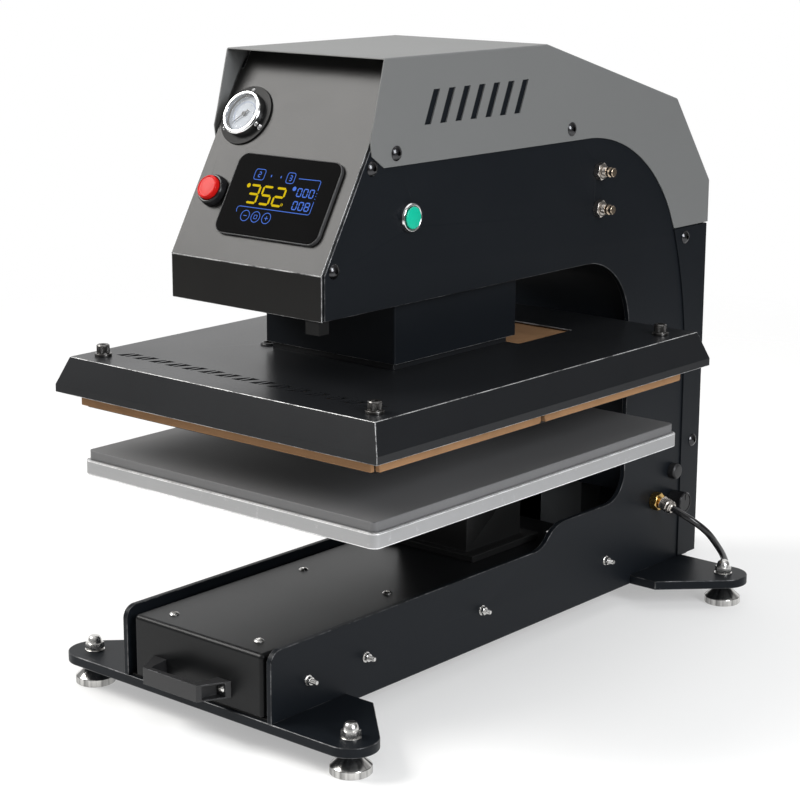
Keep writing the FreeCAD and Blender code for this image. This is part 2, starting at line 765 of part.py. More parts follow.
def power_inlet():
    """Mains inlet in the rear cover: flange, recess and three pins."""
    x0, x1, z0, z1 = inlet_window
    mid_x = (x0 + x1) / 2
    mid_z = (z0 + z1) / 2
    wall = cowling_back - 2.0
    gap = 0.4
    flange = rounded_flange(x0 - 8, x1 + 8, wall, wall + 1.8, z0 - 4, z1 + 4)
    shell = box(x0 + gap, x1 - gap, wall - 26.0, wall, z0 + gap, z1 - gap)
    hollow = box(x0 + 4, x1 - 4, wall - 18.0, wall + 3, z0 + 4, z1 - 4)
    pins = [box(mid_x + dx - 1.0, mid_x + dx + 1.0, wall - 19.0, wall - 4.0, mid_z + dz - 3, mid_z + dz + 3)
            for dx, dz in ((-9.0, -2.0), (0.0, 2.0), (9.0, -2.0))]
    return flange.fuse(shell).cut(hollow).fuse(pins).removeSplitter()


def rounded_flange(x0, x1, y0, y1, z0, z1):
    """A thin plate on the back wall with rounded corners."""
    plate = box(x0, x1, y0, y1, z0, z1)
    return fillet_where(plate, 3.0, lambda m, a: abs(a.y) > 0.999)


# ---------------------------------------------------------------- head and cylinder
def guide_places():
    """The four guide rods' places."""
    return [(sx * guide_half_x, axis_y + sy * guide_half_y) for sx in (-1, 1) for sy in (-1, 1)]


bush_outer = 13.0


def head_base_plate():
    """Thick plate across the head that carries the cylinder and bushes, with a lug at its front."""
    low = head_plate_low
    high = low + head_plate_thick
    plate = box(-plate_inner, plate_inner, 120.0, shroud_outer_back + 22.0, low, high)
    plate = plate.cut([rod_z(rod_diameter / 2 + 3.0, 0, axis_y, low - 1, high + 1)])
    plate = plate.cut([rod_z(bush_outer, x, y, low - 1, high + 1) for x, y in guide_places()])
    lug = box(plate_inner - 19.0, plate_inner - 1.5, arm_front, arm_front + 14.0, arm_under - 14.5, arm_under + 10)
    return [plate, lug]


def head_spacers():
    """Round spacers that tie the two side plates together inside the head and the column."""
    spots = ((380.0, 620.0), (560.0, 585.0), (620.0, 400.0), (645.0, 240.0))
    return [rod_x(11.0, -plate_inner, plate_inner, y, z) for y, z in spots]


def cylinder_barrel():
    """Barrel tube of the press cylinder."""
    low = head_plate_low + head_plate_thick + cylinder_cap_thick
    outer = rod_z(cylinder_bore / 2 + cylinder_wall, 0, axis_y, low, low + cylinder_length)
    return outer.cut(rod_z(cylinder_bore / 2, 0, axis_y, low - 1, low + cylinder_length + 1))


def cylinder_caps():
    """Square end caps and four tie rods with nuts."""
    half = cylinder_cap_half
    low = head_plate_low + head_plate_thick
    top = low + cylinder_cap_thick + cylinder_length
    tie = half - 9.0
    spots = [(sx * tie, axis_y + sy * tie) for sx in (-1, 1) for sy in (-1, 1)]
    holes = [rod_z(4.2, x, y, low - 1, top + cylinder_cap_thick + 1) for x, y in spots]
    front = rounded_block(-half, half, axis_y - half, axis_y + half, low, low + cylinder_cap_thick, 8.0)
    front = front.cut(holes + [rod_z(rod_diameter / 2 + slide_clearance, 0, axis_y, low - 1, low + cylinder_cap_thick + 1)])
    rear = rounded_block(-half, half, axis_y - half, axis_y + half, top, top + cylinder_cap_thick, 8.0).cut(holes)
    ties = []
    for x, y in spots:
        nut = hexagon(13.0, 6.0, V(x, y, top + cylinder_cap_thick), V(0, 0, 1))
        ties.append(rod_z(4.0, x, y, low, top + cylinder_cap_thick + 9.0).fuse(nut).removeSplitter())
    return [front, rear] + ties


def guide_bushes():
    """Flanged bronze bushes in the head plate."""
    low = head_plate_low
    bushes = []
    for x, y in guide_places():
        bush = rod_z(bush_outer, x, y, low, low + head_plate_thick + 18.0)
        bush = bush.fuse(rod_z(bush_outer + 5.0, x, y, low - 5.0, low))
        bore = rod_z(guide_rod_diameter / 2 + slide_clearance, x, y, low - 6.0, low + head_plate_thick + 20.0)
        bushes.append(bush.cut(bore).removeSplitter())
    return bushes


def sheet_tube(half_x, front, back, low, high, sheet, radius):
    """Rectangular sheet tube standing along Z."""
    outer = rounded_block(-half_x, half_x, front, back, low, high, radius)
    inner = rounded_block(-half_x + sheet, half_x - sheet, front + sheet, back - sheet, low - 1, high + 1,
                          max(radius - sheet, 0.3))
    return outer.cut(inner)


def shroud_outer():
    """Fixed upper half of the telescoping shroud."""
    return sheet_tube(shroud_outer_half_x, shroud_outer_front, shroud_outer_back, shroud_outer_low,
                      head_plate_low, shroud_sheet, 2.0)


def shroud_inner():
    """Lower half of the shroud, which stands on the platen cover; a foot flange points inwards."""
    tube = sheet_tube(shroud_inner_half_x, shroud_inner_front, shroud_inner_back, cover_top, shroud_inner_high,
                      shroud_sheet, 2.0)
    flange = box(-shroud_inner_half_x + 1, shroud_inner_half_x - 1, shroud_inner_front + 1, shroud_inner_back - 1,
                 cover_top, cover_top + shroud_sheet)
    window = box(-rod_window_half - 2, rod_window_half + 2, shroud_inner_front + 10, shroud_inner_back - 10,
                 cover_top - 1, cover_top + 3)
    return tube.fuse(flange.cut(window)).removeSplitter()


# ---------------------------------------------------------------- upper platen
pressure_plate_thick = 10.0
board_thick = 8.0


def frustum(low_half, low_front, low_back, low_z, high_half, high_front, high_back, high_z):
    """A block whose four sides lean between two rectangles."""
    def ring(half, front, back, z):
        return Part.makePolygon([V(-half, front, z), V(half, front, z), V(half, back, z), V(-half, back, z),
                                 V(-half, front, z)])
    return Part.makeLoft([ring(low_half, low_front, low_back, low_z),
                          ring(high_half, high_front, high_back, high_z)], True, True)


cover_bolt_places = ((-187.0, 18.0), (187.0, 18.0), (-187.0, platen_depth - 18.0), (187.0, platen_depth - 18.0))
cover_bolt_shank = 4.0


def platen_cover():
    """Sheet-metal tray over the hot platen: leaning skirt, upright lip, windows and slots."""
    t = cover_sheet
    lip = box(-cover_low_half, cover_low_half, cover_low_front, cover_low_back, cover_skirt_low, cover_lip_high)
    skirt = frustum(cover_low_half, cover_low_front, cover_low_back, cover_lip_high,
                    cover_top_half, cover_top_front, cover_top_back, cover_top)
    hollow_lip = box(-cover_low_half + t, cover_low_half - t, cover_low_front + t, cover_low_back - t,
                     cover_skirt_low - 1, cover_lip_high)
    hollow = frustum(cover_low_half - t, cover_low_front + t, cover_low_back - t, cover_lip_high,
                     cover_top_half - t, cover_top_front + t, cover_top_back - t, cover_under)
    shell = lip.fuse(skirt).cut(hollow_lip.fuse(hollow)).removeSplitter()
    cuts = [box(-rod_window_half, rod_window_half, shroud_inner_front + 12, shroud_inner_back - 12,
                cover_under - 1, cover_top + 1)]
    cuts.append(box(-100.0, 100.0, shroud_inner_back + 1.5, 446.0, cover_under - 1, cover_top + 1))
    for x, y in cover_bolt_places:
        cuts.append(rod_z(cover_bolt_shank + 0.2, x, y, cover_under - 1, cover_top + 1))
    for k in range(15):
        cuts.append(cover_slot(-168.0 + 24.0 * k, 38.0))
    cuts.append(rod_z(6.0, grommet_place[0], grommet_place[1], cover_under - 1, cover_top + 1))
    shell = shell.cut(cuts)
    ring = turned([(6.0, 0), (9.5, 0), (9.5, 1.6), (8.0, 2.6), (6.0, 2.6)],
                  V(grommet_place[0], grommet_place[1], cover_top), V(0, 0, 1))
    return shell.fuse(ring).removeSplitter()


grommet_place = (-shroud_inner_half_x - 12.5, 172.0)


def cover_slot(x, y):
    """One leaning slot of the row along the cover's front."""
    w = 7.5
    h = 8.0
    lean = 5.0
    points = [(x - w - lean, y - h), (x + w - lean, y - h), (x + w + lean, y + h), (x - w + lean, y + h)]
    bridge = [(x - 2.5, y - h - 1), (x + 0.5, y - h - 1), (x + 2.5, y + h + 1), (x - 0.5, y + h + 1)]
    slot = plan_profile(points, cover_under - 1, cover_top + 1)
    return slot.cut(plan_profile(bridge, cover_under - 2, cover_top + 2))


def cover_bolts():
    """Socket-head bolts standing on collars at the cover's corners."""
    bolts = []
    for x, y in cover_bolt_places:
        collar = rod_z(9.0, x, y, cover_top, cover_top + 3.0)
        head = Part.makeCylinder(6.8, 9.0, V(x, y, cover_top + 3.0))
        head = head.makeChamfer(0.8, [e for e in head.Edges if e.BoundBox.ZMin > cover_top + 11.9])
        socket = hexagon(6.0, 6.0, V(x, y, cover_top + 7.0), V(0, 0, 1))
        shank = rod_z(cover_bolt_shank, x, y, hot_high, cover_top)
        bolts.append(collar.fuse([head, shank]).cut(socket).removeSplitter())
    return bolts


def heating_platen():
    """Heated plate with its cast-in element."""
    half = platen_width / 2 - heating_plate_inset
    return rounded_block(-half, half, heating_plate_inset, platen_depth - heating_plate_inset, hot_low, hot_high, 6.0)


def insulation():
    """Board over the hot plate, blanket under the cover, and the edge bands round the plate."""
    half = platen_width / 2 - heating_plate_inset
    low = hot_high
    board_half = half - 3.0
    board = box(-board_half, board_half, heating_plate_inset + 3, platen_depth - heating_plate_inset - 3,
                low, low + board_thick)
    board = board.cut([rod_z(cover_bolt_shank + 0.6, x, y, low - 1, low + board_thick + 1)
                       for x, y in cover_bolt_places])
    plate_top = low + board_thick + pressure_plate_thick
    blanket = box(-150.0, 150.0, 110.0, 470.0, plate_top, cover_under - 1.5)
    room_x = guide_half_x + guide_rod_diameter / 2 + 6.0
    room_y = guide_half_y + guide_rod_diameter / 2 + 6.0
    blanket = blanket.cut(box(-room_x, room_x, axis_y - room_y, axis_y + room_y, plate_top - 1, cover_under))
    bands = []
    band_low = hot_low + 2.6
    band_high = cover_skirt_low + 6.0
    band = 5.0
    gap = 3.0
    x = half + 0.4
    mid_y = platen_depth / 2
    for y0, y1 in ((heating_plate_inset, mid_y - gap), (mid_y + gap, platen_depth - heating_plate_inset)):
        strip = rounded_band(x, x + band, y0, y1, band_low, band_high)
        bands += both_sides(strip)
    for y0 in (heating_plate_inset - 0.4 - band, platen_depth - heating_plate_inset + 0.4):
        bands.append(box(-half, half, y0, y0 + band, band_low, band_high))
    for k in range(len(bands)):
        bands[k] = bands[k].fuse(tie_to_plate(bands[k], half, hot_high)).removeSplitter()
    return [board, blanket] + bands


def rounded_band(x0, x1, y0, y1, z0, z1):
    """A flat strip with rounded ends."""
    return fillet_where(box(x0, x1, y0, y1, z0, z1), 2.5, lambda m, a: abs(a.x) > 0.999)


def tie_to_plate(band, half, z):
    """The band's top lip, folded over the hot plate's edge."""
    b = band.BoundBox
    x0 = max(b.XMin, -half) if b.XMin < -half else b.XMin
    lip = 2.5
    if b.XMin >= half:
        return box(half - lip, b.XMax, b.YMin + 4, b.YMax - 4, z, z + 1.5)
    if b.XMax <= -half:
        return box(b.XMin, -half + lip, b.YMin + 4, b.YMax - 4, z, z + 1.5)
    if b.YMax < platen_depth / 2:
        return box(x0 + 4, b.XMax - 4, b.YMin, b.YMax + 0.4 + lip, z, z + 1.5)
    return box(x0 + 4, b.XMax - 4, b.YMin - 0.4 - lip, b.YMax, z, z + 1.5)


def pressure_plate():
    """Steel plate that spreads the cylinder's force over the hot plate, with stand-off ribs."""
    low = hot_high + board_thick
    plate = box(-150.0, 150.0, 100.0, 480.0, low, low + pressure_plate_thick)
    boss = rod_z(30.0, 0, axis_y, low + pressure_plate_thick, low + pressure_plate_thick + 8.0)
    return plate.fuse(boss).removeSplitter()


def guide_rods():
    """Four ground guide rods that ride with the platen, each on a foot flange."""
    low = hot_high + board_thick + pressure_plate_thick
    rods = []
    for x, y in guide_places():
        rod = rod_z(guide_rod_diameter / 2, x, y, low, low + guide_rod_length)
        rods.append(rod.fuse(rod_z(guide_rod_diameter / 2 + 5.0, x, y, low, low + 6.0)).removeSplitter())
    return rods


def piston_rod():
    """Rod with its flange nut below and the piston above."""
    low = hot_high + board_thick + pressure_plate_thick + 8.0
    barrel_top = head_plate_low + head_plate_thick + cylinder_cap_thick + cylinder_length
    piston_top = barrel_top - 6.0
    rod = rod_z(rod_diameter / 2, 0, axis_y, low, piston_top)
    nut = hexagon(36.0, 14.0, V(0, axis_y, low), V(0, 0, 1))
    piston = rod_z(cylinder_bore / 2 - 0.1, 0, axis_y, piston_top - 18.0, piston_top)
    return rod.fuse([nut, piston]).removeSplitter()


# ---------------------------------------------------------------- lower platen and drawer
def lower_platen():
    """Aluminium platen with rounded corners and edges."""
    half = platen_width / 2
    low = lower_platen_top - lower_platen_thick
    plate = rounded_block(-half, half, 0, platen_depth, low, lower_platen_top, 9.0)
    rims = [e for e in plate.Edges if e.BoundBox.ZMin > lower_platen_top - 0.01 or e.BoundBox.ZMax < low + 0.01]
    return plate.makeChamfer(0.8, rims)


def silicone_pad():
    """Grey silicone pad on the lower platen."""
    half = platen_width / 2 - pad_inset
    return rounded_block(-half, half, pad_inset, platen_depth - pad_inset, lower_platen_top, pad_top, 7.0)


def pedestal():
    """Welded stand that carries the lower platen on the drawer carriage."""
    low = lower_platen_top - lower_platen_thick
    foot = box(-65.0, 65.0, 320.0, 440.0, drawer_top, drawer_top + 8.0)
    post = box(-50.0, 50.0, 328.0, 425.0, drawer_top + 8.0, low - 46.0)
    saddle = box(-78.0, 78.0, 150.0, 430.0, low - 46.0, low - 12.0)
    saddle = fillet_where(saddle, 6.0, lambda m, a: abs(a.x) > 0.999 and m.z < low - 40)
    top = box(-110.0, 110.0, 110.0, 450.0, low - 12.0, low)
    return foot.fuse([post, saddle, top]).removeSplitter()


drawer_screw_places = tuple((x, y) for y in (-9.0, 183.0, 470.0) for x in (-60.0, 60.0))


def drawer_cover():
    """Folded carriage: front, top and side walls, with a floor pan spot-welded inside."""
    t = drawer_sheet
    outer = box(-drawer_half, drawer_half, drawer_front, drawer_back, drawer_low, drawer_top)
    outer = fillet_where(outer, 5.0, lambda m, a: (abs(a.x) > 0.999 and m.y < drawer_front + 0.1 and
                                                   m.z > drawer_top - 0.1) or
                         (abs(a.z) > 0.999 and m.y < drawer_front + 0.1) or
                         (abs(a.y) > 0.999 and m.z > drawer_top - 0.1))
    inner = box(-drawer_half + t, drawer_half - t, drawer_front + t, drawer_back + 1, drawer_low + t, drawer_top - t)
    inner = fillet_where(inner, 3.0, lambda m, a: (abs(a.x) > 0.999 and m.y < drawer_front + t + 0.1 and
                                                   m.z > drawer_top - t - 0.1) or
                         (abs(a.z) > 0.999 and m.y < drawer_front + t + 0.1) or
                         (abs(a.y) > 0.999 and m.z > drawer_top - t - 0.1))
    shell = outer.cut(inner)
    return shell.cut([rod_z(2.6, x, y, drawer_top - t - 1, drawer_top + 1) for x, y in drawer_screw_places] +
                     [rod_y(2.6, x, drawer_front - 1, drawer_front + t + 1, handle_mid_z) for x in handle_screw_x])


handle_mid_z = (handle_low + handle_high) / 2
handle_screw_x = (handle_centre - handle_half + 9.0, handle_centre + handle_half - 9.0)


def drawer_screws():
    """Bright button-head screws on the carriage top, and the two that hold the handle."""
    screws = [dome_head(5.0, 2.8, V(x, y, drawer_top), V(0, 0, 1), 2.4, 12.0) for x, y in drawer_screw_places]
    screws += [dome_head(4.2, 2.4, V(x, drawer_front - 5.0, handle_mid_z), V(0, -1, 0), 2.4, 12.0)
               for x in handle_screw_x]
    return screws


def handle():
    """Bridge handle with slanted ends, a finger gap and a sunk screw seat in each end."""
    y = drawer_front
    c = handle_centre
    outer = plan_profile([(c - handle_half, y), (c - handle_bar_half, y - handle_reach),
                          (c + handle_bar_half, y - handle_reach), (c + handle_half, y)], handle_low, handle_high)
    gap = plan_profile([(c - handle_half + 18.0, y + 1), (c - handle_bar_half + 6.0, y - handle_reach + 6.0),
                        (c + handle_bar_half - 6.0, y - handle_reach + 6.0), (c + handle_half - 18.0, y + 1)],
                       handle_low - 1, handle_high + 1)
    body = outer.cut(gap)
    body = fillet_where(body, 1.2, lambda m, a: abs(a.z) > 0.999 and m.y < y - 1)
    wall = 1.6
    for side in (-1, 1):
        pocket = plan_profile([(c + side * (handle_half - 15.0), y - 5.0), (c + side * (handle_half + 4.0), y - 5.0),
                               (c + side * (handle_half + 4.0), y - handle_reach),
                               (c + side * (handle_bar_half + 1.5), y - handle_reach + 5.0),
                               (c + side * (handle_bar_half - 2.5), y - handle_reach + 8.0)],
                              handle_low + wall, handle_high - wall)
        body = body.cut(pocket)
    return body.cut([rod_y(2.6, x, y - 6.0, y + 1, handle_mid_z) for x in handle_screw_x])


rail_half = 18.0
rail_running_gap = 0.4


def rails_outer():
    """C-shaped outer rails bolted inside the side plates."""
    y0 = base_front + 14.0
    x0 = drawer_half + 0.8
    web = box(plate_inner - 1.8, plate_inner, y0, y0 + rail_length, rail_mid_z - rail_half, rail_mid_z + rail_half)
    lips = [box(x0, plate_inner, y0, y0 + rail_length, z, z + 1.8)
            for z in (rail_mid_z - rail_half, rail_mid_z + rail_half - 1.8)]
    return both_sides(web.fuse(lips).removeSplitter())


def rails_inner():
    """Inner rails on the carriage, running in the outer rails."""
    y0 = base_front + 16.0
    half = rail_half - 1.8 - rail_running_gap
    bar = box(drawer_half, plate_inner - 1.8 - rail_running_gap, y0, drawer_back, rail_mid_z - half, rail_mid_z + half)
    groove = box(plate_inner - 4.4, plate_inner, y0 - 1, drawer_back + 1, rail_mid_z - 8, rail_mid_z + 8)
    return both_sides(bar.cut(groove))


# ---------------------------------------------------------------- feet
def levelling_foot(x, y):
    """Turned stainless foot with its threaded stud."""
    r = foot_diameter / 2
    pad = turned([(0, 0), (r - 1.0, 0), (r, 1.0), (r, 8.0), (8.5, 19.0), (8.5, 21.5), (6.8, 22.0), (6.8, 24.0),
                  (0, 24.0)], V(x, y, 0), V(0, 0, 1))
    return pad.fuse(rod_z(stud_diameter / 2, x, y, 23.0, foot_plate_top + 10.0)).removeSplitter()


def cap_nuts():
    """Acorn nuts over the studs, with washers."""
    nuts = []
    for x in (-foot_x, foot_x):
        for y in (foot_front_y, foot_back_y):
            low = foot_plate_top + 1.2
            washer = rod_z(10.5, x, y, foot_plate_top, low)
            body = hexagon(17.0, 7.5, V(x, y, low), V(0, 0, 1), 20)
            dome = Part.makeSphere(8.0, V(x, y, low + 7.0)).common(box(x - 9, x + 9, y - 9, y + 9, low + 7.0, low + 16))
            bore = rod_z(stud_diameter / 2 + slide_clearance, x, y, foot_plate_top - 1, foot_plate_top + 10.2)
            nuts.append(washer.fuse([body, dome]).cut(bore).removeSplitter())
    return nuts


# ---------------------------------------------------------------- air hose
inlet_way = V(math.cos(math.radians(inlet_droop)), 0, -math.sin(math.radians(inlet_droop)))
hose_start = V(plate_outer + inlet_hex, inlet_y, inlet_z) + inlet_way * inlet_collar_length
hose_lead = hose_start + inlet_way * 14.0
hose_floor = hose_diameter / 2 + 0.1
hose_route = (
    (hose_start.x, hose_start.y, hose_start.z),
    (hose_lead.x, hose_lead.y, hose_lead.z),
    (159.0, 619.0, 100.3),
    (169.0, 632.0, 87.0),
    (170.0, 651.0, 68.0),
    (165.0, 676.0, 47.0),
    (156.0, 700.0, 24.0),
    (143.0, 714.0, 9.5),
    (121.0, 722.5, hose_floor),
    (98.0, 724.5, hose_floor),
    (75.0, 722.0, hose_floor),
    (45.0, 720.9, hose_floor),
    (15.0, 720.2, hose_floor),
)
coil_centre = (-8.0, 771.0)
coil_radius = 44.0
coil_band = 24.4
coil_height = 16.4


def rounded_route(points):
    """Straight runs joined by tangent arcs; each arc is as large as its two runs allow."""
    places = [V(*p) for p in points]
    edges = []
    last = places[0]
    for k in range(1, len(places) - 1):
        here = places[k]
        back = places[k - 1] - here
        ahead = places[k + 1] - here
        turn = math.pi - back.getAngle(ahead)
        reach = 0.45 * min(back.Length, ahead.Length)
        back.normalize()
        ahead.normalize()
        start = here + back * reach
        end = here + ahead * reach
        radius = reach / math.tan(turn / 2)
        print("hose bend", k, "radius", round(radius, 1))
        middle_way = back + ahead
        middle_way.normalize()
        centre = here + middle_way * (radius / math.cos(turn / 2))
        middle = centre - middle_way * radius
        edges.append(Part.LineSegment(last, start).toShape())
        edges.append(Part.Arc(start, middle, end).toShape())
        last = end
    edges.append(Part.LineSegment(last, places[-1]).toShape())
    return Part.Wire(edges)


def air_hose():
    """The hose from the inlet collar down to the floor behind the base."""
    path = rounded_route(hose_route)
    start = V(*hose_route[0])
    along = V(*hose_route[1]) - start
    section = Part.Wire(Part.makeCircle(hose_diameter / 2, start, along))
    tube = path.makePipeShell([section], True, False)
    expected = math.pi * hose_diameter ** 2 / 4 * path.Length
    print("hose length", round(path.Length, 1), "volume ratio", round(tube.Volume / expected, 4))
    return tube


def hose_coil():
    """Outer shape of the wound length that lies behind the column."""
    x, y = coil_centre
    low = hose_floor - hose_diameter / 2
    ring = rod_z(coil_radius + coil_band / 2, x, y, low, low + coil_height)
    return ring.cut(rod_z(coil_radius - coil_band / 2, x, y, low - 1, low + coil_height + 1))


def hose_connector():
    """Quick connector on the hose's far end, lying on the coil."""
    x, y = coil_centre
    radius = 9.0
    top = hose_floor - hose_diameter / 2 + coil_height
    plug = turned([(0, 0), (5.5, 0), (5.5, 9.0), (7.0, 10.0), (7.0, 16.0), (radius, 17.0), (radius, 36.0),
                   (7.5, 37.5), (7.5, 46.0), (0, 46.0)], V(x - 23.0, y + 40.0, top + radius), V(1, 0, 0))
    return plug


# ---------------------------------------------------------------- the list of sub-parts
def build():
    """Every node's name and its solids."""
    right_plate = side_plate().cut(right_plate_openings())
    left_plate = mirrored(side_plate())
    nodes = {
        "side_plate_right": [right_plate],
        "side_plate_left": [left_plate],
        "front_foot_plate": [foot_plate(front_plate_front, front_plate_front + foot_plate_deep, foot_front_y)],
        "rear_foot_plate": [foot_plate(back_plate_back, back_plate_front, foot_back_y)],
        "base_tray": [base_tray()],
        "column_web": [column_web()],
        "rear_cover": [rear_cover()],
        "top_cowling": [cowling()],
        "control_panel": [control_panel()],
        "head_base_plate": head_base_plate(),
        "head_spacers": head_spacers(),
        "cylinder_barrel": [cylinder_barrel()],
        "cylinder_caps": cylinder_caps(),
        "guide_bushes": guide_bushes(),
        "shroud_outer": [shroud_outer()],
        "drawer_rails_outer": rails_outer(),
        "side_bolts": [s for y, z in side_bolt_places for s in both_sides(side_bolt(y, z))],
        "casing_screws": casing_screws(),
        "gauge_case": gauge_case(),
        "gauge_bezel": [gauge_bezel()],
        "gauge_dial": [gauge_dial()],
        "gauge_lens": [gauge_lens()],
        "display_housing": [display_housing()],
        "display_glass": [display_glass()],
        "red_button_housing": [red_housing()],
        "green_button_bezel": [green_bezel()],
        "air_fittings": [valve_body(y, z) for y, z in valve_places] + [inlet_collar()],
        "inlet_fitting": [inlet_fitting()],
        "air_valves": air_valves(),
        "controller_board": [controller_board()],
        "power_inlet": [power_inlet()],
        "foot_cap_nuts": cap_nuts(),
        "platen_cover": [platen_cover()],
        "cover_bolts": cover_bolts(),
        "pressure_plate": [pressure_plate()],
        "insulation": insulation(),
        "heating_platen": [heating_platen()],
        "guide_rods": guide_rods(),
        "piston_rod": [piston_rod()],
        "shroud_inner": [shroud_inner()],
        "drawer_cover": [drawer_cover()],
        "drawer_rails_inner": rails_inner(),
        "drawer_screws": drawer_screws(),
        "drawer_handle": [handle()],
        "pedestal": [pedestal()],
        "lower_platen": [lower_platen()],
        "silicone_pad": [silicone_pad()],
        "gauge_needle": [gauge_needle()],
        "red_button": [red_button()],
        "green_button": [green_button()],
        "flow_knob_upper": [flow_knob(*valve_places[0])],
        "flow_knob_lower": [flow_knob(*valve_places[1])],
        "regulator_knob": [regulator_knob()],
        "air_hose": [air_hose()],
        "air_hose_coil": [hose_coil()],
        "hose_connector": [hose_connector()],
    }
    for name, x, y in (("front_left", -foot_x, foot_front_y), ("front_right", foot_x, foot_front_y),
                       ("rear_left", -foot_x, foot_back_y), ("rear_right", foot_x, foot_back_y)):
        nodes["levelling_foot_" + name] = [levelling_foot(x, y)]
    return nodes


cord_nodes = ("air_hose", "air_hose_coil", "hose_connector")


def main():
    """Build, move the origin to the middle of the footprint, and write one STEP per node."""
    os.makedirs("parts", exist_ok=True)
    nodes = build()
    body = Part.makeCompound([s for name, solids in nodes.items() if name not in cord_nodes for s in solids])
    bounds = body.BoundBox
    shift = V(-(bounds.XMin + bounds.XMax) / 2, -(bounds.YMin + bounds.YMax) / 2, -bounds.ZMin)
    print("bounds", bounds, "shift", shift)
    for name, solids in nodes.items():
        moved = []
        for solid in solids:
            for piece in solid.Solids:
                piece = piece.copy()
                piece.translate(shift)
                moved.append(piece)
                if not piece.isValid():
                    print("NOT VALID", name)
        if len(moved) != len(solids):
            print("SOLID COUNT", name, len(solids), len(moved))
        shape = moved[0] if len(moved) == 1 else Part.makeCompound(moved)
        shape.exportStep("parts/" + name + ".step")
    print(len(nodes), "nodes")


main()
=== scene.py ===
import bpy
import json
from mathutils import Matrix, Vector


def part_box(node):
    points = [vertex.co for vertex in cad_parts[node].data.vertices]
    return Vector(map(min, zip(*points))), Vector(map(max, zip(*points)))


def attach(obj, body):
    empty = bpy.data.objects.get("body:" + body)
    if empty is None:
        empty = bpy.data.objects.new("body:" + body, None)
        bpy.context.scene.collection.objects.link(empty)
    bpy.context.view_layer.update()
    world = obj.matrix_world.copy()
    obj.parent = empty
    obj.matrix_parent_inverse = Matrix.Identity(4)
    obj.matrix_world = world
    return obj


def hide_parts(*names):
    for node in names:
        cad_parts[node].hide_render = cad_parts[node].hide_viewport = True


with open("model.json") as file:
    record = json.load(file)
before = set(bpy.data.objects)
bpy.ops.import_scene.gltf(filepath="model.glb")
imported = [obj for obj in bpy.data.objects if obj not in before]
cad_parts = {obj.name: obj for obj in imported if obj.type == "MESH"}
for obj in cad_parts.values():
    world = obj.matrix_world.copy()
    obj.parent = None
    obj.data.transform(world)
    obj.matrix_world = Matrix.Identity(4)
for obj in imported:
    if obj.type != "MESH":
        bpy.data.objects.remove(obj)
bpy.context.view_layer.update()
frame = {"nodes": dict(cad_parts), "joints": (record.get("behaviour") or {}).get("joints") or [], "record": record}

import json
import math

import bmesh
import bpy
from mathutils import Matrix, Vector

MM = 0.001
nodes = frame["nodes"]
body_of = {node: body for body, members in frame["record"]["behaviour"]["bodies"].items() for node in members}
joint_of = {joint["name"]: joint for joint in frame["joints"]}


def add_node(tree, kind, settings, sockets):
    """Adds a node to a tree: its settings first, then each socket's link or value."""
    node = tree.nodes.new(kind)
    for key, value in settings.items():
        setattr(node, key, value)
    for key, value in sockets.items():
        if isinstance(value, bpy.types.NodeSocket):
            tree.links.new(value, node.inputs[key])
        else:
            node.inputs[key].default_value = value
    return node


# ------------------------------------------------------------------ camera and light
def add_camera():
    """The camera at the machine's right front, a little above the head."""
    azimuth, elevation, roll = math.radians(40.5), math.radians(13.6), math.radians(0.2)
    data = bpy.data.cameras.new("camera")
    data.sensor_width = 36.0
    data.lens = 94.63
    camera = bpy.data.objects.new("camera", data)
    bpy.context.scene.collection.objects.link(camera)
    forward = Vector((-math.sin(azimuth) * math.cos(elevation), math.cos(azimuth) * math.cos(elevation),
                      -math.sin(elevation)))
    camera.rotation_mode = "QUATERNION"
    camera.rotation_quaternion = (Matrix.Rotation(-roll, 3, forward) @ forward.to_track_quat("-Z", "Y").to_matrix()
                                  ).to_quaternion()
    camera.location = (1.4300, -1.72175, 0.8175)
    bpy.context.scene.camera = camera


def add_softbox(name, place, aim, size, power, tint):
    """A rectangular soft light."""
    data = bpy.data.lights.new(name, "AREA")
    data.shape = "RECTANGLE"
    data.size, data.size_y = size
    data.energy = power
    data.color = tint
    light = bpy.data.objects.new(name, data)
    bpy.context.scene.collection.objects.link(light)
    light.location = place
    light.rotation_mode = "QUATERNION"
    light.rotation_quaternion = (Vector(aim) - Vector(place)).to_track_quat("-Z", "Y")


def add_surroundings():
    """A white backdrop behind the machine, a grey ceiling and a dim room elsewhere."""
    world = bpy.data.worlds.new("studio")
    world.use_nodes = True
    tree = world.node_tree

    way = tree.nodes.new("ShaderNodeTexCoord").outputs["Generated"]
    shares = []
    for aim, low, high, dark, bright in (((-0.65, 0.74, 0.16), 0.45, 0.85, 0.0, 1.0),
                                         ((-0.25, -0.1, 0.96), -0.1, 0.9, 0.10, 0.52)):
        toward = add_node(tree, "ShaderNodeVectorMath", {"operation": "DOT_PRODUCT"}, {0: way, 1: aim})
        shares.append(add_node(tree, "ShaderNodeMapRange", {"interpolation_type": "SMOOTHSTEP"}, {
            "Value": toward.outputs["Value"], "From Min": low, "From Max": high, "To Min": dark, "To Max": bright}))
    light = add_node(tree, "ShaderNodeMath", {"operation": "MAXIMUM"},
                     {0: shares[0].outputs[0], 1: shares[1].outputs[0]})
    tree.links.new(light.outputs[0], tree.nodes["Background"].inputs["Strength"])
    tree.nodes["Background"].inputs["Color"].default_value = (1.0, 1.0, 1.0, 1.0)
    bpy.context.scene.world = world


